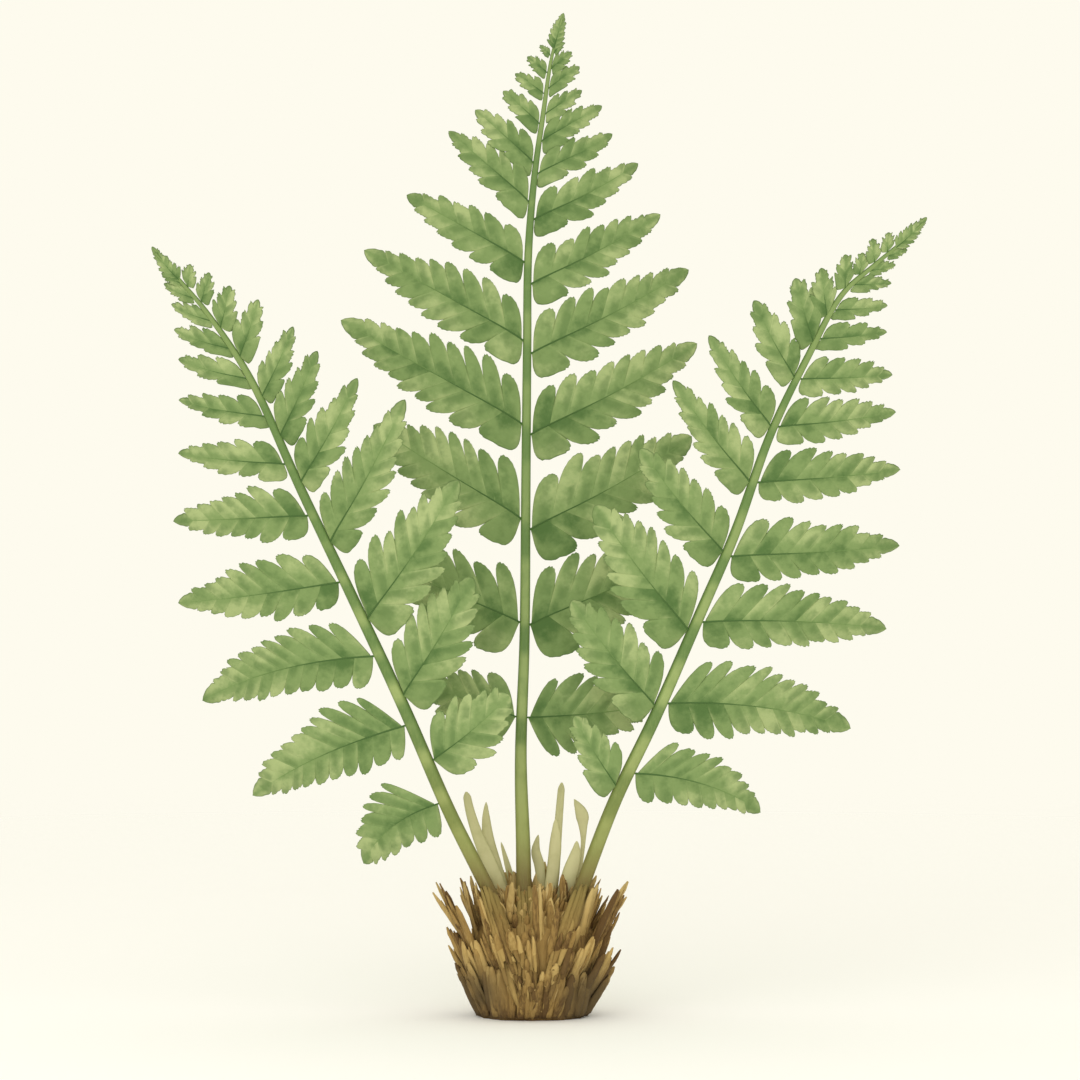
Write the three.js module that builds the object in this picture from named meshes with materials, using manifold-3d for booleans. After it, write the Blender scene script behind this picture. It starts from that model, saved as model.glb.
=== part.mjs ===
// Thick-stemmed wood fern: three fronds and a few pale young shoots on one scaly brown crown.
// Millimetres. +Z is up, +X is to the right and +Y is away from the viewer.
// The origin is the middle of the flat cut foot that the crown stands on.

import * as THREE from 'three';
import { mergeVertices } from 'three/addons/utils/BufferGeometryUtils.js';
import Module from 'manifold-3d';

// Crown
const CROWN_DEPTH_RATIO = 0.88; // front to back size over the size from left to right
const CROWN_SIDES = 12;
const CROWN_PROFILE = [ // radius and height, from the foot up
  [45, 0],
  [49, 14],
  [51, 40],
  [49, 66],
  [36, 86],
  [16, 95],
];
const CROWN_LUMP = 0.05; // how far the side swells in and out, as a share of the radius
const CROWN_LUMP_RISE = 30; // height over which the lumps turn by one radian
const CROWN_SEED = 7;
const BASE_COUNT = 84; // old leaf bases and scales, which cover the crown
const BASE_FOOT_ROW = 0.19; // share of them in the row along the foot
const BASE_ROOT = { low: 3.2, high: 88 }; // height of the roots, first and last
const BASE_SUNK = { low: 2, middle: 7, high: 8 }; // depth of the roots under the side of the crown
const BASE_LEAN = { low: 27, middle: 31, high: 12 }; // degrees out from upright
const BASE_LENGTH = { low: 36, middle: 58, high: 30 };
const BASE_HALF_WIDTH = { low: 9, middle: 7.4, high: 5.4 };
const BASE_RIDGE = 0.55; // how far the ridge on its back stands out, over its half width
const BASE_TURN = 40; // most degrees that one is turned about its own length
const BASE_VARIES = { lean: 9, sway: 0.16, length: 0.22, width: 0.16 };
const BASE_INMOST = 3; // least distance of a root from the crown's middle
// Sections of one, as the share of its length, the width over the widest, and the bow outwards
const BASE_SECTIONS = [[0, 0.9, 0], [0.45, 1, 0.03], [1, 0.2, -0.03]];
const GOLDEN_ANGLE = Math.PI * (3 - Math.sqrt(5));

// Sockets in the crown, for stipes and shoots
const SOCKET_GAP = 0.3;
const SOCKET_REACH = 0.25; // share of a rachis that its socket is cut along

// Fronds
const RACHIS_SIDES = 6;
const RACHIS_STEP = 42; // length of one straight stretch of the rachis
const RACHIS_END = 0.985; // share of its curve at which the rachis ends, inside the tip's blade
const HALVINGS = 24; // steps of the search for a height on a curve
const BLADE_THICKNESS = 0.9;
const MIDRIB_THICKNESS = 2.0;
const MIDRIB_TAPER = 0.5; // share of that thickness lost by the tip
const STALK_HALF_WIDTH = 1.7;
const STALK_LENGTH = 1.6; // bare stretch between the rachis and the first lobes
const UPPER_HALF_WIDTH = 0.2; // widest reach of a pinna towards the frond's tip, over its length
const LOWER_HALF_WIDTH = 0.182; // and towards the frond's foot
const SHORT_PINNA = { length: 30, extraWidth: 0.9 }; // short pinnae are broader for their length
const LOBED_LENGTH = 0.87; // share of a pinna's midrib that carries lobes
const LOBES = { fewest: 2, more: 1.45, each: 32 }; // lobes a side: more + length / each
const LOBE_SHRINK = 0.9; // width of each lobe over that of the one before
const OPENING = { steep: 60, level: 88 }; // degrees between the rachis and a steep or a level pinna
const STEEPEST = 1.3; // most that a pinna counts as steep
const LOBE_OFF_RACHIS = 12; // degrees by which the upper lobes point away from the rachis
const LOBE_STEEPNESS = { least: 34, most: 49 }; // degrees between a midrib and its upper lobes
const FIRST_OFF_RACHIS = 1; // degrees by which the first upper lobe points away from the rachis
const FIRST_LEAST_SLANT = 0.38; // and the least that it leans towards the pinna's tip, over its reach
const LOWER_SLANT = { level: 0.35, steep: 0.8 }; // lean of the lower lobes, over their reach
const FIRST_LOWER_SLANT = 0.15; // lean of the first lower lobe of a steep pinna
const FAN_SHARE = 0.25; // share of a pinna over which its lobes turn from the first lobe's lean
const REACH_FALL = 1.5; // radians of a cosine by which the lobes' reach falls to the pinna's tip
const REACH_AT_ROOT = { level: 0.8, steep: 0.8 }; // reach of the first lobes over the widest
const REACH_RISE = 2; // and its gain over the share of the length that is passed
const NOTCH = { root: 0.3, tip: 0.7 }; // how far out the notches stay, over the lobes' reach
const NARROW_LOBE = 5;
const BROAD_LOBE = 12;
const PLAIN_FROM = 0.6; // share of a pinna's length past which its lobes are plain points
// Points along a lobe's rounded end, as a share of its width along and of its reach outwards
const LOBE_ENDS = {
  plain: [[0.6, 0.92]],
  middle: [[0.16, 0.86], [0.78, 0.94]],
  broad: [[0.06, 0.72], [0.4, 1], [0.86, 0.84]],
  hugging: [[-0.32, 0.5], [0.1, 0.96], [0.86, 0.9]], // a first lobe that curls back along the rachis
};
const RIPPLE = 0.004; // how far every other lobe stands forward, over the pinna's length
const TILT = 0.05; // most that a blade is tipped about its midrib, over its width
const FOLD = 0.16; // how far a blade drops off to each side of its midrib, over its width
const SPRING = 0.16; // how far a steep pinna's midrib springs up from the rachis, over its length
const SPRING_SHARE = 0.15; // share of the length at which that is highest
const BEND = { steep: -0.015, level: 0.08 }; // rise of the midrib's bow over its length, more where it hangs
const BEND_FROM = 60; // degrees from upright at which a pinna starts to hang
const BEND_RANGE = 70; // and how many more degrees bend it fully
const ARCH = 0.12; // how far a blade bows out of the frond's plane, over its length
const ARCH_SWELL = 2.4; // height of the bow in the middle over the drop at its tip, times four
const TIP_BLADE = { start: 3, lobes: 4 }; // blade at the end of each frond
const TIP_HALF = { halfWidth: 0.215, slant: 0.6, firstSlant: 0.6, atRoot: 0.85, hug: 0 }; // and its sides

// Shoots
const SHOOT_SIDES = 6;
const SHOOT_FLATNESS = 0.42; // depth over width
const SHOOT_THINNEST = 0.8;

const COLOURS = {
  frond: 0x7f9b57,
  shoot: 0xa8a975,
  crown: 0x7a6038,
};

// Each rachis is a list of X and Z from its foot in the crown to the frond's tip.
// Its distance from the viewer is offset + slope * rise + arch * rise * rise above the foot.
// Each pinna is the height of its root on the rachis, its length, and its angle from upright
// as the viewer sees it, with a plus sign to the right. A fourth number widens the broad ones, and
// a fifth bows the midrib further, over its length.
const FRONDS = [
  {
    name: 'frond_centre',
    rachis: [
      [-6, 60], [-7, 130], [-9, 206], [-6, 302], [-5, 420], [-4, 530], [-3, 610], [2, 672],
      [9, 722], [16, 768], [26, 805],
    ],
    depth: { offset: 8, slope: 0.06, arch: 0.00018 },
    radii: [6.2, 5.6, 4.5, 3.9, 3.6, 3.3, 3.0, 2.5, 1.9, 1.3, 0.8],
    twist: 0,
    tipLength: 36,
    pinnae: [
      [237, 80, -71, 1.9], [312, 130, -66, 1.45], [394, 147, -57, 1.25], [470, 175, -59.3],
      [537, 154, -59.3], [600, 115, -58.8, 1.06], [648, 92, -47], [680, 68, -46, 1.1], [712, 43, -46, 1.1],
      [737, 31, -53, 1.1], [754, 23, -49, 1.1], [768, 14, -43],
      [238, 106, 84.5, 1.65, -0.04], [310, 130, 66, 1.5], [386, 156, 59.5, 1.25, -0.02],
      [462, 159, 60.5, 1, -0.02], [527, 150, 61, 1, -0.02], [583, 124, 60.5, 1, -0.025],
      [635, 101, 60.5, 1, -0.03], [672, 73, 60.5, 1, -0.02], [698, 61, 58],
      [720, 39, 55], [741, 34, 53, 1.1], [757, 24.5, 49, 1.1], [770, 14, 40],
    ],
  },
  {
    name: 'frond_left',
    rachis: [
      [-19, 62], [-33, 98], [-66, 166], [-102, 250], [-144, 342], [-183, 426], [-223, 516],
      [-255, 566], [-276, 592], [-299, 618],
    ],
    depth: { offset: -9, slope: -0.07, arch: -0.00022 },
    radii: [6.0, 5.6, 5.1, 4.7, 4.2, 3.6, 2.8, 2.0, 1.4, 0.8],
    twist: 14,
    tipLength: 36,
    pinnae: [
      [174, 87, -129, 1.7, 0.04], [237, 147, -116.6, 1.15], [292, 153, -106.7, 1.1, 0.035],
      [352, 139, -100, 1.05, -0.02], [405, 115, -95, 1.08], [446, 91, -87], [484, 74, -82],
      [514, 60, -77], [538, 49, -74], [560, 36, -70], [578, 28, -67], [590, 19, -66],
      [205, 83, 50, 1.8], [256, 111, 30, 1.45], [318, 133, 33, 1.25], [380, 128, 27.5, 0.97],
      [429, 94, 28.5], [466, 74, 23.5], [498, 61, 24], [530, 48, 18, 1.15], [553, 35, 12.5, 1.25],
      [574, 25, 16, 1.2], [586, 19, 6, 1.2],
    ],
  },
  {
    name: 'frond_right',
    rachis: [
      [24, 62], [37, 97], [66, 174], [98, 242], [134, 326], [161, 390], [189, 470], [217, 530],
      [245, 582], [270, 605], [290, 622], [311, 641],
    ],
    depth: { offset: -9, slope: -0.06, arch: -0.0002 },
    radii: [6.0, 5.6, 5.1, 4.8, 4.3, 3.9, 3.2, 2.7, 2.1, 1.7, 1.3, 0.8],
    twist: -14,
    tipLength: 36,
    pinnae: [
      [182, 69, -30, 1.35], [248, 109, -38, 1.35], [309, 125, -36.5, 1.35], [373, 106, -39, 1.2],
      [429, 101, -37], [474, 87, -34.5], [513, 69, -28, 1.2], [541, 53, -15, 1.3],
      [562, 39, -6, 1.25], [584, 28, 1, 1.2], [595, 19, 8, 1.2], [605, 20, -5, 1.2], [613, 17, 5, 1.2],
      [197, 116, 109, 1.2, 0.045], [253, 159, 100, 1.08, 0.035], [318.5, 157, 94.5, 1, 0.02],
      [371.5, 143, 89], [431, 121, 87.5], [475.5, 100, 85.5], [514, 78, 90, 1.1], [546, 57, 87],
      [569, 45, 88], [589, 32.5, 90], [600, 23, 80], [612, 18, 77],
    ],
  },
];

// Each shoot is a list of X, Y and Z from its foot in the crown to its tip, with its half width at
// each point.
const SHOOTS = [
  { spine: [[-18, 16, 74], [-28, 20, 106], [-36, 22, 125], [-44, 25, 144], [-50, 27, 163], [-53, 28, 178]],
    halfWidths: [4, 6.5, 6, 4.5, 3.8, 3] },
  { spine: [[-15, 24, 74], [-24, 28, 98], [-30, 31, 118], [-35, 33, 138], [-37, 35, 156], [-37, 36, 169]],
    halfWidths: [4, 6, 6, 5, 3.4, 0.8] },
  { spine: [[-7, 30, 76], [-12, 34, 92], [-17, 37, 108], [-21, 40, 122], [-25, 42, 136]],
    halfWidths: [3, 3.6, 3, 2.2, 0.8] },
  { spine: [[4, 22, 76], [7, 26, 100], [6, 29, 118], [3, 31, 130], [5, 32, 143]],
    halfWidths: [3.5, 3.5, 4.4, 4, 0.8] },
  { spine: [[11, 10, 74], [14, 13, 98], [17, 15, 118], [19, 17, 140], [19, 18, 157]],
    halfWidths: [4, 5, 5.2, 5, 1.2] },
  { spine: [[14, 28, 76], [18, 34, 108], [20, 38, 134], [22, 42, 160], [24, 45, 184]],
    halfWidths: [3.5, 4, 3.6, 3.2, 2.8] },
  { spine: [[24, 18, 76], [36, 22, 106], [41, 24, 136], [41, 26, 150], [40, 27, 160], [34, 28, 172]],
    halfWidths: [3, 2, 1.6, 3.4, 6.2, 0.8] },
  { spine: [[18, 3, 74], [26, 5, 98], [31, 6, 116], [35, 8, 130], [36, 9, 140]],
    halfWidths: [4, 6.5, 6.5, 4.5, 1] },
];

const UP = new THREE.Vector3(0, 0, 1);
const AWAY = new THREE.Vector3(0, 1, 0);

const wasm = await Module();
wasm.setup();

/** Repeatable random numbers from -1 to 1. */
function seededRandom(seed) {
  let state = seed;
  return () => {
    state = (state * 1664525 + 1013904223) % 4294967296;
    return state / 2147483648 - 1;
  };
}

/** Value on the polyline through evenly spaced knots, at a share from 0 to 1. */
function alongKnots(knots, share) {
  const place = THREE.MathUtils.clamp(share, 0, 1) * (knots.length - 1);
  const index = Math.min(Math.floor(place), knots.length - 2);
  return THREE.MathUtils.lerp(knots[index], knots[index + 1], place - index);
}

/** Closed geometry from a list of points and a list of triangles. */
function closedGeometry(points, triangles) {
  const geometry = new THREE.BufferGeometry();
  const numbers = points.flatMap((point) => point.toArray());
  geometry.setAttribute('position', new THREE.Float32BufferAttribute(numbers, 3));
  geometry.setIndex(triangles.flat());
  return geometry;
}

/** Closed skin over rings of equally many points, which turn anticlockwise as seen from the last ring. */
function loft(rings) {
  const sides = rings[0].length;
  const points = rings.flat();
  const triangles = [];
  for (let ring = 0; ring + 1 < rings.length; ring += 1) {
    for (let side = 0; side < sides; side += 1) {
      const a = ring * sides + side;
      const b = ring * sides + (side + 1) % sides;
      triangles.push([a, b, b + sides], [a, b + sides, a + sides]);
    }
  }
  const last = (rings.length - 1) * sides;
  for (let side = 1; side + 1 < sides; side += 1) {
    triangles.push([0, side + 1, side], [last, last + side, last + side + 1]);
  }
  return closedGeometry(points, triangles);
}

/** Oval ring of points about a centre, across the direction of travel. */
function ovalRing(centre, across, front, halfWidth, halfDepth, sides) {
  return Array.from({ length: sides }, (_, side) => {
    const angle = ((side + 0.5) / sides) * 2 * Math.PI;
    return centre.clone()
      .addScaledVector(across, halfWidth * Math.cos(angle))
      .addScaledVector(front, halfDepth * Math.sin(angle));
  });
}

/** Solid that can be joined and cut, from a closed geometry. */
function toSolid(geometry) {
  const bare = geometry.clone();
  bare.deleteAttribute('normal');
  bare.deleteAttribute('uv');
  const merged = mergeVertices(bare, 1e-5);
  return new wasm.Manifold(new wasm.Mesh({
    numProp: 3,
    vertProperties: new Float32Array(merged.attributes.position.array),
    triVerts: new Uint32Array(merged.index.array),
  }));
}

/** Geometry of the largest body of a solid, without the scraps that a cut leaves. */
function toGeometry(solid) {
  const bodies = solid.decompose().sort((a, b) => b.volume() - a.volume());
  const { vertProperties, triVerts } = bodies[0].getMesh();
  const geometry = new THREE.BufferGeometry();
  geometry.setAttribute('position', new THREE.BufferAttribute(new Float32Array(vertProperties), 3));
  geometry.setIndex(new THREE.BufferAttribute(new Uint32Array(triVerts), 1));
  geometry.computeVertexNormals();
  return geometry;
}

/** One solid from many that grow together. */
function fuse(geometries) {
  return geometries.map(toSolid).reduce((whole, piece) => whole.add(piece));
}

/** Named mesh with a plain natural finish. */
function piece(name, geometry, colour, roughness) {
  const material = new THREE.MeshStandardMaterial({ color: colour, roughness, metalness: 0 });
  const mesh = new THREE.Mesh(geometry, material);
  mesh.name = name;
  return mesh;
}

/** Rachis curve of a frond, with its depth added to the points as the viewer sees them. */
function rachisCurve(frond) {
  const foot = frond.rachis[0][1];
  const points = frond.rachis.map(([x, z]) => {
    const rise = z - foot;
    const { offset, slope, arch } = frond.depth;
    return new THREE.Vector3(x, offset + slope * rise + arch * rise * rise, z);
  });
  return new THREE.CatmullRomCurve3(points, false, 'centripetal');
}

/** Share of the curve at which it passes a height. */
function shareAtHeight(curve, height) {
  let low = 0;
  let high = 1;
  for (let step = 0; step < HALVINGS; step += 1) {
    const middle = (low + high) / 2;
    if (curve.getPoint(middle).z < height) {
      low = middle;
    } else {
      high = middle;
    }
  }
  return (low + high) / 2;
}

/** Directions of a frond's plane at a share of its rachis: along, to the right and at the viewer. */
function frondPlane(curve, share, twist) {
  const along = curve.getTangent(share);
  const flat = new THREE.Vector3().crossVectors(AWAY, along).normalize();
  const right = flat.applyAxisAngle(along, THREE.MathUtils.degToRad(-twist));
  const facing = new THREE.Vector3().crossVectors(right, along).normalize();
  return { along, right, facing };
}

/** Tapered stem along a frond's rachis, widened by a clearance and lowered by it at the foot. */
function stem(frond, from, to, clearance = 0) {
  const curve = rachisCurve(frond);
  const stretch = curve.getLength() * (to - from);
  const steps = Math.max(2, Math.round(stretch / RACHIS_STEP));
  const rings = [];
  for (let step = 0; step <= steps; step += 1) {
    const share = THREE.MathUtils.lerp(from, to, step / steps);
    const { along, right, facing } = frondPlane(curve, share, frond.twist);
    const centre = curve.getPoint(share);
    if (step === 0) {
      centre.addScaledVector(along, -clearance);
    }
    const radius = alongKnots(frond.radii, share) + clearance;
    rings.push(ovalRing(centre, right, facing.negate(), radius, radius, RACHIS_SIDES));
  }
  return loft(rings);
}

/** End of a broad first lobe, between one that stands free and one that hugs the rachis. */
function firstEnd(hug) {
  return LOBE_ENDS.broad.map(([passed, reached], corner) => {
    const [huggingPassed, huggingReached] = LOBE_ENDS.hugging[corner];
    return [
      THREE.MathUtils.lerp(passed, huggingPassed, hug),
      THREE.MathUtils.lerp(reached, huggingReached, hug),
    ];
  });
}

/** Lobes on one side of a pinna: notches, and the rounded ends between them, as along and out. */
function lobeRow(length, start, count, { halfWidth, slant, firstSlant, atRoot, hug }) {
  const end = length * LOBED_LENGTH;
  const total = (1 - LOBE_SHRINK ** count) / (1 - LOBE_SHRINK);
  const stations = Array.from({ length: count + 1 }, (_, index) => {
    const done = (1 - LOBE_SHRINK ** index) / (1 - LOBE_SHRINK);
    return start + (end - start) * (done / total);
  });
  const reach = (place) => {
    const share = place / length;
    const swell = Math.min(1, atRoot + REACH_RISE * share);
    return halfWidth * length * Math.cos(REACH_FALL * share) * swell;
  };
  const lean = (place) => {
    const share = place / length;
    const fanned = Math.max(0, 1 - share / FAN_SHARE);
    return THREE.MathUtils.lerp(slant, 1, share) + (firstSlant - slant) * fanned;
  };
  const at = (place, out) => [place + out * lean(place), out];
  const notch = (place) => THREE.MathUtils.lerp(NOTCH.root, NOTCH.tip, place / length);
  const notches = stations.map((place) => at(place, reach(place) * notch(place)));
  const ends = stations.slice(1).map((next, index) => {
    const place = stations[index];
    const width = next - place;
    const out = reach(place + width / 2);
    let shape = index === 0 && width >= BROAD_LOBE ? firstEnd(hug) : LOBE_ENDS.middle;
    if (width < NARROW_LOBE || place > PLAIN_FROM * length) {
      shape = LOBE_ENDS.plain;
    }
    return shape.map(([passed, reached]) => at(place + passed * width, reached * out));
  });
  return { stations, notches, ends };
}

/** Thin lobed blade on a bowed midrib, from its root inside the rachis to its tip. */
function pinna(sizes) {
  const { root, along, up, facing, length, start, lobes, upperSide, upper, lower } = sizes;
  const { bow, spring, tilt } = sizes;
  const midrib = [0, start];
  const points = [];
  const triangles = [];
  const border = [];
  const place = (u, v, thickness, ripple = 0) => {
    const share = u / length;
    const sprung = spring * share * Math.exp(-share / SPRING_SHARE);
    const rise = (4 * bow * share * (1 - share) + sprung) * length * upperSide;
    const arch = ARCH * length * (ARCH_SWELL * share * (1 - share) - share * share);
    const drop = arch - FOLD * Math.abs(v) + tilt * v + ripple;
    const spot = root.clone()
      .addScaledVector(along, u)
      .addScaledVector(up, v + rise)
      .addScaledVector(facing, drop);
    points.push({ spot, half: thickness / 2 });
    return points.length - 1;
  };
  const rows = [1, -1].map((side) => {
    const half = side === upperSide ? upper : lower;
    return { side, ...lobeRow(length, start, lobes, half) };
  });
  midrib.push(...rows[0].stations.slice(1));
  const spine = midrib.map((u) => place(u, 0, MIDRIB_THICKNESS * (1 - MIDRIB_TAPER * (u / length))));
  const tip = place(length, 0, BLADE_THICKNESS);
  for (const { side, notches, ends } of rows) {
    const face = (a, b, c) => triangles.push(side > 0 ? [a, b, c] : [a, c, b]);
    const edge = [
      place(0, side * STALK_HALF_WIDTH, BLADE_THICKNESS),
      place(start, side * STALK_HALF_WIDTH, BLADE_THICKNESS),
    ];
    const hollows = notches.map(([u, v], index) => (
      index === 0 ? edge[1] : place(u, side * v, BLADE_THICKNESS)));
    face(spine[0], spine[1], edge[1]);
    face(spine[0], edge[1], edge[0]);
    ends.forEach((lobe, index) => {
      const hollow = hollows[index];
      const next = hollows[index + 1];
      const ripple = (index % 2 === 0 ? 1 : -1) * RIPPLE * length * side;
      const rim = lobe.map(([u, v]) => place(u, side * v, BLADE_THICKNESS, ripple));
      face(spine[index + 1], spine[index + 2], next);
      face(spine[index + 1], next, hollow);
      const fan = [next, ...[...rim].reverse()];
      for (let corner = 0; corner + 1 < fan.length; corner += 1) {
        face(hollow, fan[corner], fan[corner + 1]);
      }
      edge.push(...rim, next);
    });
    face(spine[spine.length - 1], tip, edge[edge.length - 1]);
    border.push(side > 0 ? [...edge].reverse() : [...edge]);
  }
  const loop = [spine[0], ...border[1], tip, ...border[0]];
  return bladeGeometry(points, triangles, loop, facing);
}

/** Closed blade: the same triangles on its front and its back, and a narrow wall round its edge. */
function bladeGeometry(points, triangles, loop, facing) {
  const count = points.length;
  const front = points.map(({ spot, half }) => spot.clone().addScaledVector(facing, half));
  const back = points.map(({ spot, half }) => spot.clone().addScaledVector(facing, -half));
  const reversed = triangles.map(([a, b, c]) => [a + count, c + count, b + count]);
  const walls = loop.flatMap((a, index) => {
    const b = loop[(index + 1) % loop.length];
    return [[a, a + count, b + count], [a, b + count, b]];
  });
  return closedGeometry([...front, ...back], [...triangles, ...reversed, ...walls]);
}

/** How far a lobe leans along its midrib over its reach, from the degrees between the two. */
function slantAt(degrees) {
  return 1 / Math.tan(THREE.MathUtils.degToRad(degrees));
}

/** Number of lobes on each side of a pinna of a given length. */
function lobeCount(length) {
  return Math.max(LOBES.fewest, Math.round(LOBES.more + length / LOBES.each));
}

/** One pinna of a frond, from its height on the rachis, its length and its angle as seen. */
function pinnaOnRachis(frond, curve, [height, length, angle, broad = 1, extraBow = 0], random) {
  const share = shareAtHeight(curve, height);
  const plane = frondPlane(curve, share, frond.twist);
  const turn = THREE.MathUtils.degToRad(angle);
  const { x, y, z } = plane.facing;
  const depth = -(x * Math.sin(turn) + z * Math.cos(turn)) / y;
  const along = new THREE.Vector3(Math.sin(turn), depth, Math.cos(turn));
  const trueLength = length * along.length();
  along.normalize();
  const up = new THREE.Vector3().crossVectors(plane.facing, along);
  const hang = Math.max(0, Math.abs(angle) - BEND_FROM) / BEND_RANGE;
  const opening = THREE.MathUtils.radToDeg(plane.along.angleTo(along));
  const width = broad * (1 + SHORT_PINNA.extraWidth * Math.exp(-length / SHORT_PINNA.length));
  const steep = Math.max(0, (OPENING.level - opening) / (OPENING.level - OPENING.steep));
  const { least, most } = LOBE_STEEPNESS;
  const slant = slantAt(THREE.MathUtils.clamp(opening - LOBE_OFF_RACHIS, least, most));
  const lowerSlant = THREE.MathUtils.lerp(LOWER_SLANT.level, LOWER_SLANT.steep, Math.min(steep, STEEPEST));
  const full = Math.min(steep, 1);
  return pinna({
    root: curve.getPoint(share),
    along,
    up,
    facing: plane.facing,
    length: trueLength,
    start: alongKnots(frond.radii, share) + STALK_LENGTH,
    lobes: lobeCount(trueLength),
    upperSide: Math.sign(up.dot(plane.along)),
    upper: {
      halfWidth: width * UPPER_HALF_WIDTH,
      slant,
      firstSlant: Math.max(FIRST_LEAST_SLANT, slantAt(opening - FIRST_OFF_RACHIS)),
      atRoot: REACH_AT_ROOT.level,
      hug: 0,
    },
    lower: {
      halfWidth: width * LOWER_HALF_WIDTH,
      slant: lowerSlant,
      firstSlant: THREE.MathUtils.lerp(lowerSlant, FIRST_LOWER_SLANT, full),
      atRoot: THREE.MathUtils.lerp(REACH_AT_ROOT.level, REACH_AT_ROOT.steep, full),
      hug: full,
    },
    bow: BEND.steep + (BEND.level - BEND.steep) * hang + extraBow,
    spring: SPRING * Math.min(steep, STEEPEST),
    tilt: TILT * random(),
  });
}

/** Small lobed blade that ends the frond, on the last stretch of its rachis. */
function frondTip(frond, curve) {
  const end = curve.getPoint(1);
  const share = 1 - frond.tipLength / curve.getLength();
  const root = curve.getPointAt(share);
  const along = end.clone().sub(root);
  const length = along.length();
  along.normalize();
  const { facing } = frondPlane(curve, 1, frond.twist);
  facing.addScaledVector(along, -facing.dot(along)).normalize();
  return pinna({
    root,
    along,
    up: new THREE.Vector3().crossVectors(facing, along),
    facing,
    length,
    ...TIP_BLADE,
    upperSide: 1,
    upper: TIP_HALF,
    lower: TIP_HALF,
    bow: 0,
    spring: 0,
    tilt: 0,
  });
}

/** Whole frond: its stipe and rachis, and all its pinnae fused to them. */
function frondGeometry(frond, seed) {
  const random = seededRandom(seed);
  const curve = rachisCurve(frond);
  const blades = frond.pinnae.map((row) => pinnaOnRachis(frond, curve, row, random));
  return toGeometry(fuse([stem(frond, 0, RACHIS_END), ...blades, frondTip(frond, curve)]));
}

/** Flattened spear from its foot to its tip, widened by a clearance and lowered by it at the foot. */
function shootGeometry(shoot, clearance = 0) {
  const curve = new THREE.CatmullRomCurve3(shoot.spine.map((point) => new THREE.Vector3(...point)));
  const rings = [];
  const steps = shoot.spine.length - 1;
  for (let step = 0; step <= steps; step += 1) {
    const share = step / steps;
    const centre = curve.getPoint(share);
    const along = curve.getTangent(share);
    if (step === 0) {
      centre.addScaledVector(along, -clearance);
    }
    const across = new THREE.Vector3().crossVectors(AWAY, along).normalize();
    const back = new THREE.Vector3().crossVectors(along, across);
    const halfWidth = alongKnots(shoot.halfWidths, share);
    const halfDepth = Math.max(SHOOT_THINNEST, halfWidth * SHOOT_FLATNESS) + clearance;
    rings.push(ovalRing(centre, across, back, halfWidth + clearance, halfDepth, SHOOT_SIDES));
  }
  return loft(rings);
}

/** Radius of the crown's side at a height, before its lumps. */
function crownRadius(height) {
  const above = CROWN_PROFILE.findIndex(([, z]) => z >= height);
  const index = above < 0 ? CROWN_PROFILE.length - 1 : Math.max(1, above);
  const [lowRadius, lowHeight] = CROWN_PROFILE[index - 1];
  const [highRadius, highHeight] = CROWN_PROFILE[index];
  return THREE.MathUtils.mapLinear(height, lowHeight, highHeight, lowRadius, highRadius);
}

/** Lumpy body of the crown, with its flat foot. */
function crownBody() {
  const rings = CROWN_PROFILE.map(([radius, height]) => (
    Array.from({ length: CROWN_SIDES }, (_, side) => {
      const angle = (side / CROWN_SIDES) * 2 * Math.PI;
      const wave = Math.sin(3 * angle + height / CROWN_LUMP_RISE) * Math.cos(2 * angle);
      const lump = 1 + CROWN_LUMP * wave;
      return new THREE.Vector3(
        radius * lump * Math.cos(angle),
        radius * lump * CROWN_DEPTH_RATIO * Math.sin(angle),
        height,
      );
    })));
  return loft(rings);
}

/** One old leaf base or papery scale, a pointed blade with a ridged back that leans out from the side. */
function leafBase(index, random) {
  const share = index / (BASE_COUNT - 1);
  const angle = index * GOLDEN_ANGLE;
  const climb = Math.max(0, share - BASE_FOOT_ROW) / (1 - BASE_FOOT_ROW);
  const height = THREE.MathUtils.lerp(BASE_ROOT.low, BASE_ROOT.high, climb);
  const outward = new THREE.Vector3(Math.cos(angle), CROWN_DEPTH_RATIO * Math.sin(angle), 0);
  const sized = ({ low, middle, high }) => alongKnots([low, middle, high], climb);
  const sunk = sized(BASE_SUNK);
  const root = outward.clone().multiplyScalar(Math.max(BASE_INMOST, crownRadius(height) - sunk));
  root.z = height;
  const lean = sized(BASE_LEAN) + BASE_VARIES.lean * random();
  const length = sized(BASE_LENGTH) * (1 + BASE_VARIES.length * random());
  const halfWidth = sized(BASE_HALF_WIDTH) * (1 + BASE_VARIES.width * random());
  outward.normalize();
  const across = new THREE.Vector3().crossVectors(UP, outward);
  const direction = UP.clone().applyAxisAngle(across, THREE.MathUtils.degToRad(lean));
  direction.addScaledVector(across, BASE_VARIES.sway * random()).normalize();
  const turn = THREE.MathUtils.degToRad(BASE_TURN * climb * random());
  across.applyAxisAngle(direction, turn);
  const back = new THREE.Vector3().crossVectors(across, direction).normalize();
  return loft(BASE_SECTIONS.map(([place, widthShare, lift]) => {
    const centre = root.clone().addScaledVector(direction, place * length);
    centre.addScaledVector(back, lift * length);
    return [
      centre.clone().addScaledVector(back, halfWidth * BASE_RIDGE * widthShare),
      centre.clone().addScaledVector(across, halfWidth * widthShare),
      centre.clone().addScaledVector(across, -halfWidth * widthShare),
    ];
  }));
}

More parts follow.
